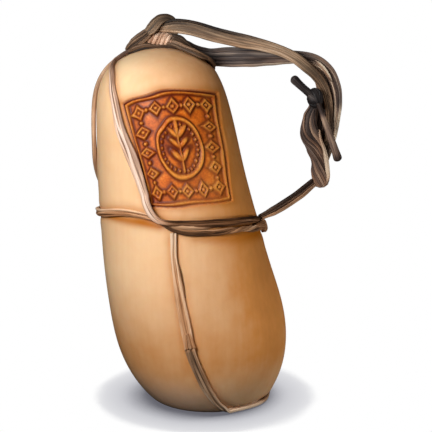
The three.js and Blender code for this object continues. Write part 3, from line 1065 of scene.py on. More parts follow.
@dataclass(frozen=True)
class Stem:
    """One rush stem: an oval section with faint ridges that turn slowly, rounded off at both ends."""

    sides: int = 18
    ridges: int = 4
    ridge: float = 0.07
    ridge_turn: float = 0.9
    ridge_run: float = 90.0
    tip: float = 1.6
    tip_least: float = 0.02
    grain_start: float = 400.0
    grain_lane: float = 60.0

    def strand(
        self,
        line: Line,
        offset: tuple[Array, Array],
        half: tuple[Array, Array],
        shade: tuple[Array, Array],
        rng: np.random.Generator,
        ring: bool = False,
    ) -> Shell:
        """Carries the section along a line.

        Section point at angle p: half width times cos p sideways and half thickness times sin p outwards,
        both times 1 + ridge cos(ridges p + a slow turn). At an end both shrink as a quarter circle.

        Args:
            line: the line it follows.
            offset: how far its middle lies sideways and outwards of the line.
            half: its half width and half thickness.
            shade: its tone and its tint.
            rng: the source of its chance values.
            ring: whether the line closes on itself.

        Returns:
            The strand's surface, with tone, tint and grain.
        """
        centre = line.place + line.side * offset[0][:, None] + line.out * offset[1][:, None]
        angle = FULL_TURN * np.arange(self.sides) / self.sides
        turn = rng.uniform(0, FULL_TURN) + self.ridge_turn * wander(line.along, rng, self.ridge_run)
        ripple = 1.0 + self.ridge * np.cos(self.ridges * angle[None, :] + turn[:, None])
        tip = np.ones_like(line.along)
        if not ring:
            end = np.minimum(line.along, line.along[-1] - line.along)
            near = np.clip(end / np.minimum(half[1], self.tip), self.tip_least, 1.0)
            tip = np.sqrt(1.0 - (1.0 - near) ** 2)
        across = (half[0] * tip)[:, None] * np.cos(angle)[None, :] * ripple
        outward = -(half[1] * tip)[:, None] * np.sin(angle)[None, :] * ripple
        aside = across[..., None] * line.side[:, None, :]
        points = centre[:, None, :] + aside + outward[..., None] * line.out[:, None, :]
        rows, sides = across.shape
        start = rng.uniform(0, self.grain_start)
        lane = rng.uniform(0, self.grain_lane, 2)
        grain = np.broadcast_arrays(line.along[:, None] + start, across + lane[0], outward + lane[1])
        ends = [list(range(sides - 1, -1, -1)), list(range((rows - 1) * sides, rows * sides))]
        values = {
            "tone": np.repeat(shade[0], sides),
            "tint": np.repeat(shade[1], sides),
            "grain": np.stack(grain, -1).reshape(-1, 3),
        }
        return Shell(points.reshape(-1, 3), tube_faces(rows, sides, ring), [] if ring else ends, values)


STEM = Stem()


@dataclass(frozen=True)
class Habit:
    """What strands do in every bundle, in shares of its width and thickness.

    A pair is an amount and the length over which it comes and goes, apart from twisted, a strand's width and
    thickness over its room. The core is its width, what a twist takes off it and its thickness. A flat
    strand's thickness is the least, what is shared out and the most.
    """

    orbits: tuple[float, ...] = (0.0, 0.48, 0.54, 0.6)
    orbit_room: float = 1.9
    core: Triple = (0.84, 0.24, 0.55)
    lanes: float = 0.96
    stray_run: float = 110.0
    stack: float = 0.12
    stack_stray: Pair = (0.3, 70.0)
    swell: Pair = (0.12, 60.0)
    flat_thick: Triple = (0.5, 0.9, 0.92)
    twisted: Pair = (1.12, 1.25)
    tone_gap: float = 0.03
    tone_waver: Pair = (0.05, 50.0)
    tint_gap: float = 0.08
    tint_waver: Pair = (0.12, 80.0)

    def orbit(self, count: int) -> float:
        """How far out that many twisted strands circle, as a share of the half width."""
        return self.orbits[count - 1] if count <= len(self.orbits) else 1.0 - self.orbit_room / count


HABIT = Habit()


@dataclass(frozen=True)
class Lay:
    """How a tie's strands lie: side by side, or twisted together where the twist rows say so.

    Twist and spread say at row numbers how far the strands are twisted and how strongly their shifts in tone
    count. Fill is how much of its share of the width a flat strand takes, sunk how far the strands lie
    towards the skin, and core the tone of the dark core as a share of the tie's, darker to paint the shade in
    the gaps between strands.
    """

    strands: int
    turns: float = 0.0
    twist: Rows = ((0.0, 0.0),)
    loose: float = 0.1
    shifts: tuple[float, ...] = (0.0,)
    spread: Rows = ((0.0, 1.0),)
    seed: int = 0
    step: float = 1.7
    sunk: float = 0.3
    core: float = 0.5
    fill: float = 1.22


@dataclass(frozen=True)
class RushTie:
    """One tie: a bundle of rush strands that stands for a swept band of the same name.

    Tones run from 0, dark, to 1, light, and tints from 0, plain, to 1, warm, both given at row numbers.
    """

    node: str
    route: Route
    lay: Lay
    shade: Rush
    tones: Rows
    tints: Rows = ((0.0, 0.15),)
    more: tuple["RushTie", ...] = ()

    def line(self) -> Line:
        """Samples of the tie's run."""
        return self.route.line(self.lay.step)

    def along_rows(self, rows: Rows, line: Line) -> Array:
        """Values given at row numbers, read off straight between them at each sample."""
        number = line.where * (len(self.route.rows) - 1)
        return np.interp(number, [row[0] for row in rows], [row[1] for row in rows])

    def shells(self) -> list[Shell]:
        """The bundle's strands: side by side they share the width, twisted they circle the middle as a helix.

        Returns:
            A dark core, drawn darker than the tie to paint the shade in the gaps, and then the strands.
        """
        line, lay, count = self.line(), self.lay, self.lay.strands
        rng = np.random.default_rng(lay.seed)
        deep = np.minimum(self.route.thick / 2, line.half)
        twist = self.along_rows(lay.twist, line)
        tone = self.along_rows(self.tones, line)
        tint = self.along_rows(self.tints, line)
        spread = self.along_rows(lay.spread, line)
        orbit = HABIT.orbit(count)
        flat = np.zeros_like(line.along)
        # The core lies under the strands, darker by the lay's share, to paint the shade in the gaps between them.
        core = (line.half * (HABIT.core[0] - HABIT.core[1] * twist), deep * HABIT.core[2])
        shells = [STEM.strand(line, (flat, flat - lay.sunk), core, (tone * lay.core, tint), rng)]
        flat_thick = min(HABIT.flat_thick[2], HABIT.flat_thick[0] + HABIT.flat_thick[1] / count)

        def wavering(size: Pair) -> Array:
            """A slow wander of an amount over a length, along this tie."""
            return size[0] * wander(line.along, rng, size[1])

        for number in range(count):
            lane = -1.0 + (2.0 * number + 1.0) / count
            angle = FULL_TURN * (number / count + lay.turns * line.along / line.along[-1])
            stray = wavering((lay.loose, HABIT.stray_run))
            stack = HABIT.stack * (-1) ** number + lay.loose * wavering(HABIT.stack_stray)
            across = line.half * ((1 - twist) * (lane * HABIT.lanes + stray) + twist * orbit * np.cos(angle))
            outward = deep * ((1 - twist) * stack + twist * orbit * np.sin(angle)) - lay.sunk
            swell = 1 + wavering(HABIT.swell)
            wide = (1 - twist) * lay.fill / count + twist * (1 - orbit) * HABIT.twisted[0]
            thick = (1 - twist) * flat_thick + twist * (1 - orbit) * HABIT.twisted[1]
            shift = lay.shifts[number % len(lay.shifts)] + rng.normal(0, HABIT.tone_gap)
            own_tone = tone + shift * spread + wavering(HABIT.tone_waver)
            own_tint = np.clip(tint + rng.normal(0, HABIT.tint_gap) + wavering(HABIT.tint_waver), 0, 1)
            half = (line.half * swell * wide, deep * thick)
            shells.append(STEM.strand(line, (across, outward), half, (own_tone, own_tint), rng))
        return shells

    def build(self) -> Piece:
        """Builds the bundle together with the further strands that belong to it."""
        shells = [shell for tie in (self, *self.more) for shell in tie.shells()]
        return joined(shells).mesh(self.node + "_strands")


@dataclass(frozen=True)
class CrownWrap:
    """The wrapping on the crown: slanting turns of pale rush round a barrel that lies along X, drawn dark
    partly to paint the shade in the gaps between the turns.
    """

    node: str = "crown_wrap"
    shade: Rush = Rush.PALE
    centre: Triple = (-20.2, 0.0, 253.4)
    length: float = 19.6
    radius: float = 5.0
    narrowing: float = 0.35
    starts: int = 4
    turns: float = 1.5
    samples: int = 110
    half_wide: float = 1.3
    half_thick: float = 1.05
    end_room: float = 2.4
    tone: float = 0.8
    tone_waver: Pair = (0.12, 30.0)
    tone_gap: float = 0.07
    tint: float = 0.45
    barrel_room: Pair = (2.0, 1.5)
    barrel_samples: int = 40
    barrel_gap_shade: float = 0.1
    seed: int = 31

    def belly(self, share: Array) -> Array:
        """Radii along the barrel: 1 - narrowing (2s - 1)^4 of the full one."""
        return self.radius * (1.0 - self.narrowing * (2.0 * share - 1.0) ** 4)

    def coil(self, start: int) -> Line:
        """One start of the wrapping: a helix on the barrel, with its lengths measured along it.

        Args:
            start: the start's number.

        Returns:
            Its samples.
        """
        share = np.linspace(0.0, 1.0, self.samples)
        angle = FULL_TURN * (self.turns * share + start / self.starts)
        out = np.stack([np.zeros_like(angle), -np.cos(angle), np.sin(angle)], -1)
        place = np.array(self.centre) + out * (self.belly(share) - self.half_thick)[:, None]
        place[:, 0] += (share - 0.5) * (self.length - self.end_room)
        along = lengths(place)
        ahead = unit(np.gradient(place, along, axis=0))
        return Line(place, out, np.cross(ahead, out), np.full_like(share, self.half_wide), share, along)

    def build(self) -> Piece:
        """Builds the turns and the barrel that they are wound on.

        Returns:
            The object.
        """
        rng = np.random.default_rng(self.seed)
        shells = []
        for start in range(self.starts):
            line = self.coil(start)
            flat = np.zeros_like(line.along)
            half = (flat + self.half_wide, flat + self.half_thick)
            tone = self.tone + self.tone_waver[0] * wander(line.along, rng, self.tone_waver[1])
            tone = tone + rng.normal(0, self.tone_gap)
            shells.append(STEM.strand(line, (flat, flat), half, (tone, flat + self.tint), rng))
        # The barrel is drawn dark, partly as painted shade in the gaps between the turns.
        line = rod(self.centre, RIGHT, self.length - self.barrel_room[0], self.barrel_samples)
        flat = np.zeros_like(line.along)
        half = self.belly(line.where) - self.barrel_room[1]
        shells.append(STEM.strand(line, (flat, flat), (half, half), (flat + self.barrel_gap_shade, flat), rng))
        return joined(shells).mesh(self.node + "_turns")


@dataclass(frozen=True)
class LoopKnot:
    """The knot that closes the hanging loop: dark strands wound round a small ball on slanting rings."""

    node: str = "loop_knot"
    shade: Rush = Rush.DARK
    centre: Triple = (86.0, -4.0, 214.1)
    size: Triple = (5.4, 4.6, 6.0)
    rings: int = 5
    slant: Pair = (-58.0, 34.0)
    tilt: Pair = (18.0, -23.0)
    samples: int = 60
    half_wide: float = 1.9
    wide_span: Pair = (0.8, 1.25)
    half_thick: float = 1.2
    thick_span: Pair = (0.85, 1.2)
    tone: float = 0.12
    tone_gap: float = 0.06
    stray: float = 1.1
    stray_lift: float = 0.5
    ball_room: Pair = (3.0, 1.4)
    ball_samples: int = 30
    ball_least: float = 0.02
    ball_tone: float = 0.1
    seed: int = 47

    def turn(self, number: int) -> Line:
        """One turn round the ball: a circle in a slanted plane, stretched to the ball's size.

        Args:
            number: the turn's number.

        Returns:
            Its samples.
        """
        angle = np.linspace(0.0, FULL_TURN, self.samples, endpoint=False)
        slant, tilt = (np.radians(first + step * number) for first, step in (self.slant, self.tilt))
        one = np.array([np.cos(slant), 0.0, np.sin(slant)])
        two = np.array([-np.sin(slant) * np.sin(tilt), -np.cos(tilt), np.cos(slant) * np.sin(tilt)])
        ball = np.outer(np.cos(angle), one) + np.outer(np.sin(angle), two)
        size = np.array(self.size)
        place = np.array(self.centre) + ball * (size - self.half_thick)
        ahead = unit(np.roll(place, -1, axis=0) - np.roll(place, 1, axis=0))
        out = square_to(ahead, unit(ball / size))
        half = np.full_like(angle, self.half_wide)
        return Line(place, out, np.cross(ahead, out), half, angle, angle * size.mean())

    def build(self) -> Piece:
        """Builds the turns and the ball inside them.

        Returns:
            The object.
        """
        rng = np.random.default_rng(self.seed)
        shells = []
        for number in range(self.rings):
            line = self.turn(number)
            flat = np.zeros_like(line.along)
            tone = flat + self.tone + rng.normal(0, self.tone_gap)
            wide = flat + self.half_wide * rng.uniform(*self.wide_span)
            thick = flat + self.half_thick * rng.uniform(*self.thick_span)
            stray = rng.uniform(-self.stray, self.stray) * np.cos(line.where + rng.uniform(0, FULL_TURN))
            offset = (stray, self.stray_lift * np.abs(stray))
            shells.append(STEM.strand(line, offset, (wide, thick), (tone, flat), rng, ring=True))
        line = rod(self.centre, UP, 2 * self.size[2] - self.ball_room[0], self.ball_samples)
        flat = np.zeros_like(line.along)
        round_off = np.sqrt(np.maximum(1 - (2 * line.where - 1) ** 2, self.ball_least))
        half = tuple((size - self.ball_room[1]) * round_off for size in self.size[:2])
        shells.append(STEM.strand(line, (flat, flat), half, (flat + self.ball_tone, flat), rng))
        return joined(shells).mesh(self.node + "_turns")


@dataclass(frozen=True)
class Stroke:
    """A soft ochre stroke on the front, staining and painted shade under or beside a tie: its ends in x and z,
    and its width and strength at each.
    """

    start: Pair
    end: Pair
    wide: Pair
    strong: Pair

    def on(self, flat: Array) -> Array:
        """How strong it is at places in x and z: a bell curve about its straight stretch.

        Args:
            flat: places in x and z, one a row.

        Returns:
            One strength for each place.
        """
        start, run = np.array(self.start), np.subtract(self.end, self.start)
        share = np.clip((flat - start) @ run / (run @ run), 0.0, 1.0)
        off = np.linalg.norm(flat - start - share[:, None] * run, axis=1)
        wide, strong = (one + (two - one) * share for one, two in (self.wide, self.strong))
        return strong * bell(off, wide)


@dataclass(frozen=True)
class CheeseBody:
    """The cheese: its skin on a grid, finer at the panel, pressed by the panel, the ties and the floor.

    A groove clears a tie by its room and fades over its edge. A tie dents the skin where it lies within the
    touch, and raises a bulge beside it: its share of the dent, its distance and its width. A rub is the ochre
    staining and painted shade beside a tie: its strength and its width.
    """

    node: str = "cheese"
    slot: str = "rind"
    panel: PressedPanel = field(default_factory=PressedPanel)
    finish: RindFinish = field(default_factory=RindFinish)
    fine_rows: Pair = (1.70, 2.68)
    row_counts: tuple[int, int, int] = (100, 166, 26)
    fine_degrees: Pair = (228.0, 326.0)
    column_counts: tuple[int, int] = (124, 190)
    pole_normals: Rows = ((0.17, 0.0, -0.98), (-0.17, 0.0, 0.98))
    lump: float = 0.45
    lump_waves: int = 10
    lump_mm: Pair = (45.0, 130.0)
    lump_sum: float = 3.0
    lump_seed: int = 5
    groove_room: float = 0.7
    groove_edge: Pair = (0.5, 2.2)
    touch: Pair = (0.8, 2.2)
    dent: Pair = (0.5, 4.0)
    bulge: Triple = (0.45, 7.5, 3.5)
    # Ochre staining beside each tie, which also paints the shade there: its strength and width.
    rub_and_shade: Pair = (0.55, 5.0)
    panel_stain: float = 0.5
    foot_soft: float = 1.6
    foot_drop: float = 0.12
    # A grey film low on the front and left of the heel, painted floor bounce and shade: its share, rise and side.
    heel_bounce: float = 0.6
    bounce_rise: Pair = (34.0, 4.0)
    bounce_side: Pair = (-0.2, 0.45)
    # Ochre under the waist ring and beside the round tie below it: staining and painted shade.
    shade_strokes: tuple[Stroke, ...] = (
        Stroke((-58.0, 136.6), (-20.0, 136.4), (2.6, 4.0), (0.6, 1.0)),
        Stroke((4.0, 126.5), (48.0, 121.5), (2.4, 4.2), (0.26, 0.9)),
        Stroke((-8.0, 130.0), (-6.6, 110.0), (1.4, 1.0), (0.4, 0.2)),
    )

    def grid(self) -> tuple[Array, Array]:
        """Shares and angles of the grid: (1 - cos latitude) / 2 up the axis, closer across the panel.

        Returns:
            Shares and angles, a row of the grid on each row.
        """
        low, high = self.fine_rows
        heel, middle, crown = self.row_counts
        latitude = np.concatenate([
            np.linspace(0.0, low, heel + 1, endpoint=False)[1:],
            np.linspace(low, high, middle, endpoint=False),
            np.linspace(high, np.pi, crown + 1)[:-1],
        ])
        first, last = self.fine_degrees
        angle = np.concatenate([
            np.linspace(last - 360.0, first, self.column_counts[0], endpoint=False),
            np.linspace(first, last, self.column_counts[1], endpoint=False),
        ])
        return np.meshgrid((1.0 - np.cos(latitude)) / 2.0, np.radians(angle), indexing="ij")

    def poles(self, rows: int, columns: int) -> list[list[int]]:
        """Three-sided faces that close the grid at heel and crown, whose points come after the grid's.

        Args:
            rows: how many rows the grid has.
            columns: how many points a row has.

        Returns:
            The faces, as point numbers that turn outwards.
        """
        ring = np.arange(columns)
        beside = (ring + 1) % columns
        last = (rows - 1) * columns
        heel = np.stack([beside, ring, np.full(columns, rows * columns)], -1)
        crown = np.stack([last + ring, last + beside, np.full(columns, rows * columns + 1)], -1)
        return heel.tolist() + crown.tolist()

    def pressed(self, skin: Array, ties: list[RushTie]) -> tuple[Array, Array]:
        """Presses the ties into the skin: a shallow dent under each, a groove where one runs under the foot.

        Args:
            skin: places on the skin.
            ties: the ties that lie on it.

        Returns:
            How deep each place is pressed in, and how strongly the ties leave ochre staining and painted shade on it.
        """
        depth = np.zeros(len(skin))
        stain = np.zeros(len(skin))
        for tie in ties:
            line = tie.line()
            share, angle = tie.route.spot(line.where)
            foot = FORM.skin(share, angle)
            off = ((line.place - foot) * FORM.normal(share, angle)).sum(axis=1)
            half = np.minimum(tie.route.thick / 2, line.half)
            distance, number = nearest(skin, foot)
            need = np.maximum(half + self.groove_room - off, 0.0)[number]
            groove = need * (1.0 - smooth(*self.groove_edge, distance - line.half[number]))
            close = 1.0 - smooth(half + self.touch[0], half + self.touch[1], off)
            raised, aside, wide = self.bulge
            swell = bell(distance, self.dent[1]) - raised * bell(distance - aside, wide)
            dent = self.dent[0] * close[number] * swell
            depth = np.where(groove > np.abs(dent), groove, depth + dent)
            # Ochre staining beside the tie, which also paints the shade there.
            stain = np.maximum(stain, self.rub_and_shade[0] * bell(distance, self.rub_and_shade[1]))
        return depth, stain

    def stroke_shade(self, skin: Array) -> Array:
        """Ochre staining and painted shade under and beside the ties: the strongest stroke at each place on the
        front, and none behind.
        """
        strong = np.maximum.reduce([stroke.on(skin[:, [0, 2]]) for stroke in self.shade_strokes])
        return np.where(skin[:, 1] < 0, strong, 0.0)

    def lumps(self, skin: Array) -> Array:
        """Hand-made unevenness: sines in random directions, with random phases and wavelengths.

        Args:
            skin: places on the skin.

        Returns:
            How far each place stands out, in millimetres.
        """
        rng = np.random.default_rng(self.lump_seed)
        direction = unit(rng.normal(size=(self.lump_waves, 3)))
        number = FULL_TURN / rng.uniform(*self.lump_mm, self.lump_waves)
        phase = rng.uniform(0, FULL_TURN, self.lump_waves)
        return self.lump * np.sin(skin @ direction.T * number + phase).sum(axis=1) / self.lump_sum

    def toast(self, skin: Array, normal: Array) -> Array:
        """How brown the rind is drawn: browning from smoking, plus painted shade and a painted highlight.

        A sum of soft zones by height or by the way the rind faces: the right, the front and the low part are drawn
        darker as painted shade turned from the key light, and the top left paler as a painted highlight.

        Args:
            skin: places on the skin.
            normal: its outward directions.

        Returns:
            0 for straw, 1 for dark ochre.
        """
        side, height = normal[:, 0], skin[:, 2]
        turned = smooth(-0.5, 0.2, side)
        right = smooth(0.1, 0.9, side) * (1.0 - 0.4 * smooth(195.0, 235.0, height))
        low = smooth(100.0, 45.0, height)
        # Besides the base and the two belts, these zones are painted light: painted shade to the right, front and low
        # down, a painted highlight on the top left, and painted light that lifts the shade of the heel.
        zones = {
            "all over": np.full_like(side, 0.18),
            "front and right": 0.15 * turned,
            "right": 0.36 * right,
            "low, most on the left": 0.29 * low * (1.0 - 0.4 * turned - 0.9 * right),
            "pale top on the left": -0.16 * smooth(0.2, 0.8, normal[:, 2]) * (1.0 - turned),
            "belt at the right edge": 0.14 * bell(side - 0.75, 0.24) * bell(height - 62.0, 34.0),
            "belt on the left": 0.07 * bell(height - 40.0, 22.0) * (1.0 - turned),
            "pale heel at the front": -0.3 * turned * smooth(44.0, 4.0, height),
            "pale heel on the right": -0.06 * right * smooth(52.0, 10.0, height),
        }
        return sum(zones.values())

    def footed(self, height: Array) -> Array:
        """Heights eased onto the floor: half of h + sqrt(h^2 + soft^2), let down a little, cut off at 0."""
        eased_height = (height + np.sqrt(height**2 + self.foot_soft**2)) / 2.0
        return np.maximum(eased_height - self.foot_drop, 0.0)

    def build(self, ties: list[RushTie]) -> Piece:
        """Builds the skin.

        Args:
            ties: the ties that lie on the cheese.

        Returns:
            The object, with these at each point: its browning, from smoking and as painted shade and highlight; its
            ochre staining and painted shade by the ties; the share of grey film that paints the floor bounce at the
            heel; panel; the charring that also paints the panel's crevice shade; and lit, the marks' tops as painted
            highlight.
        """
        share, angle = self.grid()
        rows, columns = share.shape
        share = np.concatenate([share.ravel(), [0.0, 1.0]])
        angle = np.concatenate([angle.ravel(), [0.0, 0.0]])
        skin = FORM.skin(share, angle)
        normal = FORM.normal(share, angle)
        normal[-2:] = self.pole_normals
        panel = self.panel.fields(skin)
        depth, stain = self.pressed(skin, ties)
        points = skin + normal * (self.lumps(skin) - depth - panel["sunk"])[:, None]
        points[:, 2] = self.footed(points[:, 2])
        left = 1.0 - smooth(*self.bounce_side, normal[:, 0])
        values = {
            # Browning from smoking, with painted shade and a painted highlight.
            "toast": self.toast(skin, normal),
            # Ochre staining with painted shade by the ties.
            "stain": np.clip(stain + self.stroke_shade(skin) + self.panel_stain * panel["near"], 0, 1),
            # The share of grey film: painted floor bounce and shade at the heel.
            "dull": self.heel_bounce * smooth(*self.bounce_rise, skin[:, 2]) * left,
            "panel": panel["panel"],
            # Charring with painted crevice shade.
            "char": panel["char"],
            # The marks' tops as a painted highlight, plus wear.
            "lit": panel["lit"],
        }
        shell = Shell(points, tube_faces(rows, columns, False), self.poles(rows, columns), values)
        return shell.mesh("cheese_rind")

    def dress(self, piece: Piece) -> None:
        """Gives the rind its finish."""
        piece.data.materials.append(self.finish.material())


@dataclass(frozen=True)
class Binding:
    """The ties that lie on the cheese, with the wrapping and the gripping loop on its crown."""

    thick: float = 3.2
    hitch_thick: float = 4.0
    loop_thick: float = 5.0
    mass_thick: float = 5.0
    wrap: CrownWrap = field(default_factory=CrownWrap)

    def waist_ring(self) -> RushTie:
        """From the right round the back and the left to the front, under the front tie and along below it.

        Returns:
            The tie.
        """
        rows = (
            (0.4985, -1.5, 0, 4.2), (0.503, 8, 0, 4.5), (0.517, 30, 0, 4.6), (0.532, 50, 0.6, 4.8),
            (0.544, 64, 3.4, 5), (0.555, 82, 3.4, 5), (0.566, 98, 0.6, 4.8), (0.583, 124, 0, 4.8),
            (0.6, 154, 0, 5), (0.612, 187, 0, 5.2), (0.626, 220, 0, 4.8), (0.627, 236, 0, 4.6),
            (0.62, 248, 0, 4.4), (0.609, 256.5, 0, 4.2), (0.597, 262, 0, 3.8), (0.583, 266.5, 0, 3.8),
            (0.57, 272.5, 0, 4), (0.5595, 281, 0, 4.2), (0.5515, 291, 0, 4.2), (0.543, 304, 0, 4.4),
            (0.534, 319, 0, 4.6), (0.521, 334, 0, 4.8), (0.5095, 346, 0, 4.2),
        )
        tones = (
            (0, 0.4), (6, 0.45), (8, 0.64), (9, 0.72), (11, 0.74), (12.6, 0.7), (13.5, 0.4), (15, 0.3),
            (18, 0.36), (19.5, 0.48), (21, 0.56), (22, 0.52),
        )
        tints = ((0, 0.4), (9, 0.9), (12, 1), (14, 0.95), (18, 0.9), (20, 0.8), (22, 0.8))
        twist = ((0, 0), (18, 0), (19.4, 0.8), (22, 0.8))
        lay = Lay(4, 11.0, twist, loose=0.2, shifts=(0.22, -0.08, 0.02, -0.12), seed=11, fill=1.3)
        route = HeldRoute(rows, self.thick, (4, 11))
        return RushTie("waist_ring", route, lay, Rush.BROWN, tones, tints, (self.pale_strand(),))

    def pale_strand(self) -> RushTie:
        """A pale strand of the ring that shows between it and the front tie.

        Returns:
            The tie.
        """
        rows = (
            (0.598, 263, 0.2, 1.4), (0.589, 267.5, 0.8, 2.2), (0.581, 273.5, 0.9, 2.6),
            (0.5735, 280.5, 0.7, 2.4), (0.5665, 289, 0.4, 1.8), (0.561, 298, 0.1, 1.0),
        )
        tones = ((0, 0.6), (2, 0.92), (5, 0.5))
        route = HeldRoute(rows, self.thick)
        return RushTie("waist_ring", route, Lay(1, seed=20), Rush.BROWN, tones, ((0, 0.9),))

    def front_tie(self) -> RushTie:
        """From the left of the crown down the front, over the ring and along above it to the right.

        Returns:
            The tie.
        """
        rows = (
            (0.998, 194, 2.8, 3.5), (0.991, 185, 1.0, 3.6), (0.979, 185, 0.2, 3.8), (0.968, 198, 0, 4),
            (0.944, 219.5, 0, 5), (0.905, 228.5, 0, 6), (0.874, 232.5, 0, 6.3), (0.828, 237, 0, 7.2),
            (0.776, 243, 0, 7.2), (0.714, 248.8, 0, 7), (0.672, 252.4, 1.0, 6.6), (0.646, 254.4, 3.8, 6.2),
            (0.624, 256.6, 3.8, 5.4), (0.6065, 260, 3.8, 4.6), (0.5965, 265.5, 3.8, 3.8),
            (0.591, 270.5, 2.6, 3.6), (0.586, 276.5, 0.6, 3.8), (0.579, 285, 0, 4.4), (0.572, 296, 0, 4.6),
            (0.563, 308, 0, 4.6), (0.553, 322.5, 0, 4.6), (0.539, 338, 0, 4.4), (0.531, 346.5, 0, 4.2),
        )
        tones = (
            (0, 0.3), (2, 0.45), (3.5, 0.74), (6, 0.88), (10, 0.92), (12.5, 0.88), (13.6, 0.74), (14.6, 0.4),
            (15.4, 0.3), (18, 0.34), (22, 0.38),
        )
        tints = ((0, 0.2), (3, 0.3), (12, 0.25), (14, 0.8), (15, 1), (22, 0.9))
        lay = Lay(4, loose=0.2, shifts=(-0.22, 0.06, 0.1, -0.06), seed=12, core=0.6, fill=1.3)
        return RushTie("front_tie", HeldRoute(rows, self.thick, (3, 11)), lay, Rush.PALE, tones, tints)

    def shoulder_fan(self) -> RushTie:
        """The broad fan of the round tie's strands, from the wrapping over the right shoulder.

        Returns:
            The tie.
        """
        rows = (
            (0.9985, 372, 2.5, 6), (0.9945, 350, 1.2, 9), (0.985, 343, 0.4, 10.5), (0.973, 343, 0.3, 9.2),
            (0.965, 352, 0.1, 6.8), (0.96, 364, 0, 4.8), (0.955, 378, 0, 3.6),
        )
        tones = ((0, 0.26), (2, 0.34), (4, 0.36), (6, 0.3))
        shifts = (-0.1, 0.04, 0.14, 0.0, 0.08, -0.06, 0.06, -0.04, 0.04)
        lay = Lay(9, loose=0.08, shifts=shifts, seed=17, sunk=0.0, fill=1.5)
        return RushTie("round_tie", HeldRoute(rows, self.thick), lay, Rush.BROWN, tones, ((0, 0.3),))

    def shoulder_ridge(self) -> RushTie:
        """The strands that stand up behind the fan.

        Returns:
            The tie.
        """
        rows = (
            (-12.4, -1.4, 254, 8), (-7.4, 0, 252, 9.4), (-3.5, 2, 249.2, 8), (1.8, 6, 245.2, 6.6),
            (7.3, 11, 240, 5.6), (12.7, 16, 234.4, 4.6), (16.2, 20, 230.5, 4),
        )
        tones = ((0, 0.28), (2, 0.32), (4, 0.34), (6, 0.3))
        lay = Lay(5, loose=0.08, shifts=(-0.16, 0.04, 0.1, 0.0, 0.06), seed=19, sunk=0.0, fill=1.6)
        return RushTie("round_tie", Route(rows, self.mass_thick), lay, Rush.BROWN, tones, ((0, 0.25),))

    def crease_shade_strand(self) -> RushTie:
        """A dark strand on the right of the round tie below the waist, standing in for the shade of the crease there.

        Returns:
            The tie.
        """
        rows = (
            (0.5, 268.4, 0.1, 1), (0.468, 268.5, 0.3, 1.9), (0.435, 268.6, 0.3, 1.6),
            (0.405, 268.6, 0.1, 0.8),
        )
        route = HeldRoute(rows, self.thick)
        return RushTie("round_tie", route, Lay(1, seed=18), Rush.BROWN, ((0, 0.36), (3, 0.44)), ((0, 1),))

    def torn_ends(self) -> RushTie:
        """The flared ends of the pale strands, part of the way down the round tie.

        Returns:
            The tie.
        """
        rows = (
            (0.32, 265.1, 0.1, 5.6), (0.299, 265, 0.5, 6.6), (0.2855, 264.9, 0.7, 8),
            (0.279, 264.9, 0.7, 8.8),
        )
        shifts = (0.1, -0.1, 0.04, -0.06, 0.08)
        lay = Lay(5, loose=0.06, shifts=shifts, seed=51, step=0.8, sunk=0.0, fill=1.1)
        return RushTie("round_tie", HeldRoute(rows, self.thick), lay, Rush.BROWN, ((0, 0.7),), ((0, 1),))

    def round_tie(self) -> RushTie:
        """From below the ring down the front, under the foot, up the back and over the right shoulder.

        Returns:
            The tie.
        """
        rows = (
            (0.553, 268.2, 0, 4.2), (0.516, 266.7, 0, 4.4), (0.469, 266, 0, 5.4), (0.394, 265.6, 0, 6.4),
            (0.321, 265.1, 0, 7), (0.263, 264.8, 0, 6.4), (0.201, 265.9, 0, 5.8), (0.147, 268, 0, 5.6),
            (0.105, 271, 0, 5.4), (0.078, 277, 0, 5), (0.064, 293, 0, 4), (0.0575, 312, 0, 3.6),
            (0.05, 330, 0, 3.8), (0.043, 356, 0, 4.2), (0.06, 388, 0, 5), (0.13, 412, 0, 5),
            (0.21, 426, 0, 5), (0.3, 434, 0, 5), (0.4, 437, 0, 5), (0.5, 436, 0, 5), (0.6, 432, 0, 5),
            (0.7, 426, 0, 5), (0.8, 419, 0, 5), (0.87, 410, 0, 5.4), (0.915, 397, 0, 5.6),
            (0.945, 372, 0.3, 6), (0.966, 354, 0.8, 6.4), (0.983, 350, 1.6, 6.4), (0.9945, 356, 3, 6),
        )
        tones = (
            (0, 0.94), (1.5, 0.86), (3, 0.74), (4.68, 0.7), (4.84, 0.46), (6, 0.56), (8, 0.8), (9, 0.88),
            (9.7, 0.9), (11, 0.8), (11.6, 0.4), (14, 0.42), (22, 0.4), (24, 0.28), (28, 0.3),
        )
        tints = ((0, 0.4), (2, 1), (4.68, 1), (4.84, 0.45), (9, 0.4), (11, 0.4), (28, 0.25))
        lay = Lay(4, loose=0.16, shifts=(0.06, -0.1, 0.02, 0.08), seed=13, core=0.62, fill=1.3)
        route = HeldRoute(rows, self.thick, (4, 2))
        more = (self.shoulder_fan(), self.shoulder_ridge(), self.crease_shade_strand(), self.torn_ends())
        return RushTie("round_tie", route, lay, Rush.BROWN, tones, tints, more)

    def left_tie(self) -> RushTie:
        """From the left of the crown down the left side and round the back to the ring.

        Returns:
            The tie.
        """
        rows = (
            (0.998, 158, 2.8, 3.2), (0.9885, 168, 0.6, 3.8), (0.972, 173, 0, 4), (0.934, 181, 0, 4.2),
            (0.895, 184, 0, 4.2), (0.84, 186, 0, 4.2), (0.785, 186, 0, 4.2), (0.744, 182, 0, 4.2),
            (0.7, 171, 0, 4), (0.658, 159, 0, 4), (0.617, 150, 0, 3.6),
        )
        tones = ((0, 0.32), (3, 0.45), (5, 0.55), (10, 0.5))
        lay = Lay(2, loose=0.14, shifts=(0.1, -0.14), seed=14, sunk=0.9)
        route = HeldRoute(rows, self.thick, (3, 4.5))
        return RushTie("left_tie", route, lay, Rush.BROWN, tones, ((0, 0.2), (4, 0.5)))

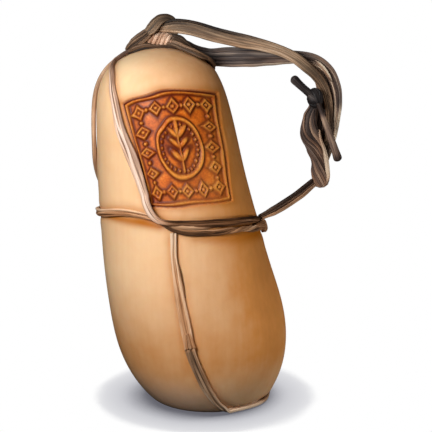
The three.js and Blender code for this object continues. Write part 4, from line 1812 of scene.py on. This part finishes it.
    def waist_hitch(self) -> RushTie:
        """The turn that grips the ties on the right side, where the tail leaves.

        Returns:
            The tie.
        """
        rows = (
            (0.517, 351.5, 1.3, 4.6), (0.511, 353, 1.7, 6.4), (0.5045, 353, 1.7, 6.4),
            (0.499, 351.5, 1.1, 4.8),
        )
        tones, tints = ((0, 0.6), (3, 0.66)), ((0, 0.8),)
        lay = Lay(3, loose=0.1, shifts=(-0.06, 0.08, 0.0), seed=15, step=0.8, fill=1.4)
        route = HeldRoute(rows, self.hitch_thick, (2, 1.5))
        return RushTie("waist_hitch", route, lay, Rush.BROWN, tones, tints, (self.hitch_cover(),))

    def hitch_cover(self) -> RushTie:
        """Strands of the hitch that lie over the ends of both ties.

        Returns:
            The tie.
        """
        rows = (
            (0.5225, 338, 0.3, 2.4), (0.519, 343.5, 1.2, 4), (0.514, 348.5, 1.7, 5.4), (0.508, 353, 1.8, 6),
            (0.504, 358, 1.2, 4.6), (0.501, 363, 0.4, 3),
        )
        tones = ((0, 0.4), (2, 0.52), (5, 0.5))
        lay = Lay(3, loose=0.12, shifts=(-0.06, 0.04, 0.1), seed=33, step=0.9, fill=1.5)
        return RushTie("waist_hitch", HeldRoute(rows, self.thick), lay, Rush.BROWN, tones, ((0, 0.8),))

    def crown_mass(self) -> tuple[RushTie, ...]:
        """Dark strands gathered round the wrapping: to the left, over it and under it. Those under it are darkest,
        as painted shade between the wrapping and the cheese.

        Returns:
            The ties.
        """
        left = (
            (-26.6, -5.2, 259.4, 6), (-29.4, -4.4, 257, 7), (-32.8, -3.2, 254.2, 7.4),
            (-36.4, -2, 251.6, 6.8), (-39.8, -0.9, 248.8, 5), (-42.6, 0, 245.8, 3.6),
        )
        over = (
            (-26.5, 0.6, 256.4, 4.4), (-21.1, 1.6, 257.6, 5), (-14.3, 1.6, 257.8, 5), (-8.2, 1.2, 255.6, 5),
        )
        under = (
            (-42, -1, 244.6, 3), (-36, -3, 247.4, 4.4), (-30, -3.4, 249, 4.4), (-23.7, -3.6, 248.4, 3.6),
            (-17, -3.4, 248.2, 3.4), (-8.9, -2.6, 247.6, 3.2),
        )
        shifts = (0.1, -0.08, 0.04, -0.02)
        made = []
        # The strands under the wrapping get the lowest tone: painted shade between it and the cheese.
        for seed, rows, count, tone in ((41, left, 4, 0.32), (42, over, 3, 0.3), (43, under, 2, 0.14)):
            lay = Lay(count, loose=0.14, shifts=shifts, seed=seed, step=1.0, sunk=0.0, fill=1.4)
            route = Route(rows, self.mass_thick)
            made.append(RushTie("crown_loop", route, lay, Rush.BROWN, ((0, tone),), ((0, 0.3),)))
        return tuple(made)

    def crown_loop(self) -> RushTie:
        """The loop that grips the end of the upper leg on the crown.

        Returns:
            The tie.
        """
        rows = (
            (-11.1, 7, 261.5, 4), (-10.5, 7, 264.4, 4.4), (-12, 5.6, 266.6, 5), (-15.6, 1.4, 267.7, 6.2),
            (-19.4, -2.8, 266.7, 7.6), (-22.2, -5.2, 264.2, 8.2), (-24.8, -6.2, 261.2, 7.8),
            (-27.4, -6.6, 258.9, 6),
        )
        tones = ((0, 0.3), (3, 0.42), (7, 0.46))
        twist = ((0, 0.3), (3, 0.3), (7, 0.15))
        shifts = (0.06, -0.06, 0.03, -0.03, 0.08, -0.05)
        lay = Lay(6, 0.3, twist, loose=0.12, shifts=shifts, seed=16, step=0.8, sunk=0.0, core=0.7, fill=1.5)
        route = Route(rows, self.loop_thick, (9, 1))
        return RushTie("crown_loop", route, lay, Rush.BROWN, tones, ((0, 0.05),), self.crown_mass())

    def held(self) -> list[RushTie]:
        """The ties that press on the rind."""
        return [self.waist_ring(), self.front_tie(), self.round_tie(), self.left_tie()]

    def build(self) -> list[tuple[Piece, str, Rush]]:
        """Builds every tie of the binding and the wrapping, each with its node and shade."""
        ties = self.held() + [self.waist_hitch(), self.crown_loop(), self.wrap]
        return [(tie.build(), tie.node, tie.shade) for tie in ties]


@dataclass(frozen=True)
class HangingLoop:
    """The free rush the cheese hangs by: two legs, a doubled return, its knot and tails, the waist tail."""

    leg_thick: float = 4.4
    return_thick: float = 5.0
    tail_thick: float = 4.2
    leg_diameter: float = 8.0
    band_diameter: float = 9.0
    tail_diameter: float = 5.6
    cord_step: float = 3.0
    knot: LoopKnot = field(default_factory=LoopKnot)

    def upper_leg(self) -> RushTie:
        """The upper leg, which crosses in front of the lower one.

        Returns:
            The tie.
        """
        rows = (
            (-18.6, 0, 262.2, 6.4), (-15.3, 0, 262.2, 6.9), (-9.8, 0, 262.7, 9), (0.7, -1, 261.7, 9.4),
            (17.6, -2, 257.2, 9.4), (34.5, -4, 253.2, 8.8), (48.7, -6, 250.3, 7.2), (60.9, -6, 246.8, 6.8),
            (71.2, -4.4, 241.8, 7), (79.7, -1.6, 235.3, 6.8), (86.8, 1, 228.9, 6.4), (92.1, 2.8, 221.3, 6),
            (95.3, 3.8, 212.1, 5.4), (97, 4, 200.7, 4.6), (96.4, 4, 188.8, 4.2), (94.4, 4.2, 179, 4.2),
            (91.3, 4.2, 168.4, 4.2), (88.9, 4.2, 158.5, 3.6),
        )
        # Row 12 is drawn lighter where the knot's cast shadow falls on it: painted light that lifts the shadow.
        tones = (
            (0, 0.6), (2, 0.5), (3, 0.48), (4, 0.45), (5, 0.56), (6, 0.7), (8, 0.76), (8.6, 0.6), (9.3, 0.42),
            (10, 0.38), (11, 0.46), (12, 0.58), (13, 0.4), (17, 0.3),
        )
        tints = ((0, 0.15), (9, 0.1), (17, 0.3))
        shifts = (-0.48, -0.4, -0.2, -0.08, 0.0, -0.02, 0.06, 0.04, 0.12)
        spread = ((0, 1), (4, 1), (5.5, 0.5), (7, 0.2), (17, 0.2))
        lay = Lay(9, loose=0.04, shifts=shifts, spread=spread, seed=21, sunk=0.0, core=0.75, fill=2.2)
        return RushTie("upper_leg", Route(rows, self.leg_thick, (4, 0)), lay, Rush.BROWN, tones, tints)

    def lower_leg(self) -> RushTie:
        """The lower leg, a flat band from behind the crown to the bend on the right and down.

        Returns:
            The tie.
        """
        rows = (
            (-8.5, 8, 252.6, 5), (-1.1, 15.6, 246.9, 8), (10.6, 23.4, 240, 12), (28, 18, 240.2, 12.6),
            (41.8, 13.4, 240.5, 12.2), (55.5, 9.4, 240.8, 10.6), (67.8, 7, 240.9, 8.6), (76, 6, 241.1, 7.6),
            (85.9, 5, 239.6, 6.8), (95.9, 4.4, 232.4, 6.2), (101.2, 4, 221.5, 5.6), (102.8, 4, 210.4, 4.8),
            (102, 5, 199.3, 4.4), (100.3, 7.4, 187.4, 4.2), (97.3, 9, 176, 4.2), (93.7, 9, 165.3, 4.2),
            (92.1, 9, 156.8, 3.6),
        )
        tones = (
            (0, 0.3), (2, 0.26), (3.6, 0.28), (4.4, 0.34), (5, 0.38), (7, 0.32), (9, 0.38), (11, 0.34),
            (11.6, 0.7), (12.2, 0.86), (14, 0.82), (16, 0.7),
        )
        tints = ((0, 0.05), (7, 0.2), (9, 0.3), (11, 0.2), (16, 0.1))
        shifts = (0.08, 0.08, 0.14, -0.02, -0.08, -0.08, 0.1, 0.34)
        lay = Lay(8, loose=0.05, shifts=shifts, seed=22, sunk=0.0, core=0.65, fill=2.0)
        return RushTie("lower_leg", Route(rows, self.leg_thick), lay, Rush.DARK, tones, tints)

    def inner_strands(self) -> RushTie:
        """Strands between and behind the legs, from the bend down behind the return: lighter at the top to lift the
        legs' shadow, painted light, and dark lower down, partly painted shade in the gap between the legs.

        Returns:
            The tie.
        """
        rows = (
            (76.7, 7, 239.7, 4), (81.9, 7, 236.6, 7), (86.5, 7, 232.5, 9), (90.4, 7, 227.3, 10),
            (93.2, 7, 220.1, 11), (94.4, 7, 212.8, 12.4), (94.2, 6.6, 204.6, 13.4), (93, 6.2, 196.3, 13.6),
            (92.4, 6, 187.3, 12.4), (93, 6, 178.9, 10), (93, 6, 169.8, 7),
        )
        # Lighter at the top to lift the legs' shadow, painted light; darkest lower down, partly painted shade in the
        # gap.
        tones = ((0, 0.56), (2, 0.62), (3, 0.5), (4, 0.38), (5, 0.36), (6.4, 0.2), (8, 0.16), (10, 0.18))
        lay = Lay(9, shifts=(0.04, -0.06, 0.1, 0.0, -0.04, 0.06), seed=27, sunk=0.0, fill=1.8)
        return RushTie("loop_return", Route(rows, self.leg_thick), lay, Rush.DARK, tones, ((0, 0.2),))

    def pale_edge(self) -> RushTie:
        """A pale strand along the right edge of the return.

        Returns:
            The tie.
        """
        rows = (
            (89.3, -2.2, 192, 1), (90.4, -3.8, 185.2, 1.4), (92.8, -4.2, 178.6, 1.9),
            (94.3, -4.1, 171.9, 2.4), (95.5, -3.6, 164.1, 2.5), (96.1, -2.8, 158.6, 1.9),
            (94.7, -2.4, 154.2, 1),
        )
        tones = ((0, 0.6), (2, 0.9), (4, 0.94), (5, 0.8), (6, 0.5))
        lay = Lay(1, seed=28, step=0.9, sunk=0.0)
        return RushTie("loop_return", Route(rows, self.tail_thick), lay, Rush.DARK, tones, ((0, 0.2),))

    def bend_gleam(self) -> RushTie:
        """A pale strand that crosses the bend to its inner side; its paleness is partly a painted highlight on the
        bend.

        Returns:
            The tie.
        """
        rows = (
            (86, 2, 239.1, 1.2), (89.4, 1.8, 236.7, 2.2), (92.9, 1.6, 233, 2.6), (95.7, 1.6, 228.9, 2.2),
            (97.9, 2, 224.7, 1.2),
        )
        tones = ((0, 0.5), (1, 0.9), (3, 0.92), (4, 0.5))
        lay = Lay(2, loose=0.2, shifts=(0.05, -0.2), seed=29, step=0.9, sunk=0.0)
        return RushTie("loop_return", Route(rows, self.tail_thick), lay, Rush.DARK, tones, ((0, 0.3),))

    def loop_return(self) -> RushTie:
        """The doubled return of the loop, from the knot down to its fold.

        Returns:
            The tie.
        """
        rows = (
            (85.4, -3.4, 207.6, 7), (83.2, -2.5, 200.1, 10.8), (82.9, -2, 189.7, 14.4),
            (86.8, -1.5, 179.8, 13.4), (89.4, -1, 170.7, 11.2), (90.5, -1, 162.2, 14), (91.2, -1, 156, 13.6),
            (91.7, -1, 153, 10.6), (91.9, -1, 151.4, 5),
        )
        tones = ((0, 0.16), (1, 0.28), (3, 0.34), (4.4, 0.34), (5.4, 0.46), (8, 0.5))
        tints = ((0, 0.2), (4, 0.4), (7, 0.45))
        twist = ((0, 0.5), (3, 0.9), (8, 0.9))
        shifts = (0.3, 0.08, -0.03, -0.05, 0.06, -0.02, 0.02, -0.06, 0.05, -0.03, 0.04, -0.05, 0.02, 0.1)
        lay = Lay(14, 0.75, twist, shifts=shifts, seed=23, step=1.1, sunk=0.0, core=0.7, fill=1.8)
        route = Route(rows, self.return_thick, (4, 0))
        more = (self.inner_strands(), self.pale_edge(), self.bend_gleam())
        return RushTie("loop_return", route, lay, Rush.DARK, tones, tints, more)

    def tail_up(self) -> RushTie:
        """The short tail that stands out of the knot.

        Returns:
            The tie.
        """
        rows = (
            (81.5, -4.5, 218.1, 4), (75.5, -5.4, 223.3, 4.4), (71.9, -5.9, 226.6, 4.6),
            (69.7, -6.2, 228.6, 3.4),
        )
        lay = Lay(1, seed=24, step=0.8, sunk=0.0)
        route = Route(rows, self.leg_thick, (4, 0))
        return RushTie("tail_up", route, lay, Rush.DARK, ((0, 0.14), (3, 0.12)), ((0, 0.1),))

    def tail_down(self) -> RushTie:
        """The longer tail that hangs from the knot.

        Returns:
            The tie.
        """
        rows = (
            (89, -8.2, 208.6, 2.8), (94.9, -8.6, 192.6, 3.4), (99.2, -8.6, 180.6, 4.2),
            (101.6, -8.5, 173.6, 4.7), (102.4, -8.4, 171, 3.6),
        )
        tones = ((0, 0.06), (0.26, 0.12), (0.5, 0.54), (1.6, 0.62), (2.5, 0.46), (3, 0.16), (4, 0.1))
        lay = Lay(1, seed=25, step=0.9, sunk=0.0)
        return RushTie("tail_down", Route(rows, self.tail_thick, (3, 0)), lay, Rush.DARK, tones, ((0, 0.3),))

    def waist_tail(self) -> RushTie:
        """The tail of the waist's ties, up to the fold of the loop.

        Returns:
            The tie.
        """
        rows = (
            (51.8, -3.6, 132, 4.4), (59, -2.8, 135.4, 6), (65.7, -2, 139.1, 6.4), (76.8, -1, 146.7, 6.4),
            (84.9, -1, 153.7, 5.4),
        )
        tones = ((0, 0.26), (2, 0.12), (4, 0.12))
        lay = Lay(3, shifts=(-0.08, 0.02, 0.36), seed=26, step=1.0, sunk=0.0, fill=1.3)
        route = Route(rows, self.tail_thick, (4, 3))
        return RushTie("waist_tail", route, lay, Rush.BROWN, tones, ((0, 0.6),))

    def declare(self, made: dict[str, Piece]) -> None:
        """Args:
            made: node name to its piece.
        """
        pieces = [made[name] for name in ("loop_return", "loop_knot", "tail_up", "tail_down")]
        for tie, diameter, carried in (
            (self.upper_leg(), self.leg_diameter, pieces),
            (self.lower_leg(), self.band_diameter, []),
            (self.waist_tail(), self.tail_diameter, []),
        ):
            line = tie.route.line(self.cord_step)
            path = line.place * MM
            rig.cord(
                made[tie.node],
                exit=path[0],
                length=float(line.along[-1]) * MM,
                diameter=diameter * MM,
                far_end="object",
                stiffness="stiff",
                lay="hanging",
                path=path,
                with_pieces=carried,
            )

    def build(self) -> list[tuple[Piece, str, Rush]]:
        """Returns:
            The pieces, their nodes and their shades.
        """
        legs = [self.upper_leg(), self.lower_leg(), self.loop_return()]
        tails = [self.tail_up(), self.tail_down(), self.waist_tail()]
        made = [(tie.build(), tie.node, tie.shade) for tie in (*legs, *tails, self.knot)]
        self.declare({node: piece for piece, node, _ in made})
        return made


@dataclass(frozen=True)
class SoftLight:
    """A square soft box that faces the cheese: name, place, power in watts, size, whether it glints."""

    name: str
    place: Triple
    power: float
    size: float
    glint: bool = True


@dataclass(frozen=True)
class Studio:
    """A bright white floor, a near key from the upper left, fills from right, top and back, and a dim sky.

    The floor glows evenly, is shaded only where the cheese stands close over it, and throws no light back.
    """

    target: Triple = (18.3, 0.0, 130.8)
    distance: float = 900.0
    elevation: float = np.radians(12.0)
    focal_px: float = 1286.0
    frame_px: float = 432.0
    sensor_mm: float = 36.0
    floor_m: float = 30.0
    floor_shades: Codes = ("#66666E", "#AEAEB4", "#CACACF", "#E0E0E3", "#FFFFFF")
    floor_open: tuple[float, ...] = (0.3, 0.5, 0.6, 0.87, 0.94)
    shade_reach: float = 36.0
    lights: tuple[SoftLight, ...] = (
        SoftLight("key", (-154.0, -366.0, 306.0), 1.9, 160.0),
        SoftLight("right_fill", (260.0, -66.0, 70.0), 0.26, 120.0, False),
        SoftLight("top_fill", (-285.0, -306.0, 1100.0), 1.45, 900.0),
        SoftLight("back_fill", (-60.0, 520.0, 120.0), 0.9, 300.0, False),
    )
    lit_middle: Triple = (0.0, 0.0, 130.0)
    sky: float = 0.02
    sky_colour: str = "#FFFFFF"

    def camera(self) -> None:
        """Makes the camera, which looks along +Y and down by the elevation."""
        lens = bpy.data.cameras.new("front_camera")
        lens.sensor_width = self.sensor_mm
        lens.lens = self.sensor_mm * self.focal_px / self.frame_px
        back = Vector((0.0, -np.cos(self.elevation), np.sin(self.elevation)))
        camera = bpy.data.objects.new("front_camera", lens)
        camera.location = (Vector(self.target) + back * self.distance) * MM
        camera.rotation_euler = (-back).to_track_quat("-Z", "Y").to_euler()
        bpy.context.scene.collection.objects.link(camera)
        bpy.context.scene.camera = camera

    def board(self) -> bpy.types.Material:
        """Makes the white board: a glow whose colour goes by how much of the sky over a place is open.

        Returns:
            The material.
        """
        paint, tree, shader = new_material("bright_white_board")
        tree.nodes.remove(shader)
        reach = {"Distance": self.shade_reach * MM}
        open_sky = add(tree, "ShaderNodeAmbientOcclusion", reach).outputs["AO"]
        colour = ramp(tree, open_sky, self.floor_shades, self.floor_open)
        glow = add(tree, "ShaderNodeEmission", {"Color": colour}).outputs[0]
        plug(tree.nodes["Material Output"], {"Surface": glow})
        return paint

    def floor(self) -> None:
        """Makes the floor, which the camera sees but the cheese is not lit by."""
        half = self.floor_m / 2
        corners = [(-half, -half, 0), (half, -half, 0), (half, half, 0), (-half, half, 0)]
        mesh = bpy.data.meshes.new("floor")
        mesh.from_pydata(corners, [], [(0, 1, 2, 3)])
        mesh.materials.append(self.board())
        floor = bpy.data.objects.new("floor", mesh)
        bpy.context.scene.collection.objects.link(floor)
        floor.visible_diffuse = False
        floor.visible_glossy = False
        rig.stage(floor)

    def build(self) -> None:
        """Makes the floor, the lights and the sky, and shows colours as they are."""
        scene = bpy.context.scene
        scene.view_settings.view_transform = "Standard"
        self.floor()
        for soft in self.lights:
            light = bpy.data.lights.new(soft.name, "AREA")
            light.energy = soft.power
            light.size = soft.size * MM
            lamp = bpy.data.objects.new(soft.name, light)
            lamp.location = Vector(soft.place) * MM
            away = Vector(soft.place) - Vector(self.lit_middle)
            lamp.rotation_euler = away.to_track_quat("Z", "Y").to_euler()
            lamp.visible_camera = False
            lamp.visible_glossy = soft.glint
            scene.collection.objects.link(lamp)
        world = bpy.data.worlds.new("studio")
        world.use_nodes = True
        sky = world.node_tree.nodes["Background"]
        plug(sky, {"Strength": self.sky, "Color": linear(self.sky_colour)})
        scene.world = world


def box_rows() -> list[list[float]]:
    """Returns the lowest and highest corner of what is shown, as plain lists."""
    return [[float(value) for value in corner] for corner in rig.bounds()]


def settle(piece: Piece, node: str, slot: str) -> None:
    """Lets a piece ride on the one body, in place of its node and with its material slot.

    Args:
        piece: the piece.
        node: the node it stands for.
        slot: its material slot.
    """
    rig.ride(piece, BODY)
    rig.replaces(piece, node)
    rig.slot(piece, slot)
    LOG.info("%s: %d faces for %s", piece.name, len(piece.data.polygons), node)


def main() -> None:
    """Builds the studio, the hanging loop, the binding and the cheese, and ties each piece to its node."""
    logging.basicConfig(level=logging.INFO, format="%(message)s")
    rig.load()
    cad_box = box_rows()
    studio = Studio()
    studio.camera()
    binding = Binding()
    finishes = {shade: finish.material() for shade, finish in RUSH_FINISHES.items()}
    for piece, node, shade in HangingLoop().build() + binding.build():
        piece.data.materials.append(finishes[shade])
        settle(piece, node, shade.value)
    cheese = CheeseBody()
    rind = cheese.build(binding.held())
    cheese.dress(rind)
    settle(rind, cheese.node, cheese.slot)
    studio.build()
    with open(SIZE_FILE, "w") as file:
        json.dump({"cad": cad_box, "visual": box_rows()}, file)


if __name__ == "__main__":
    main()
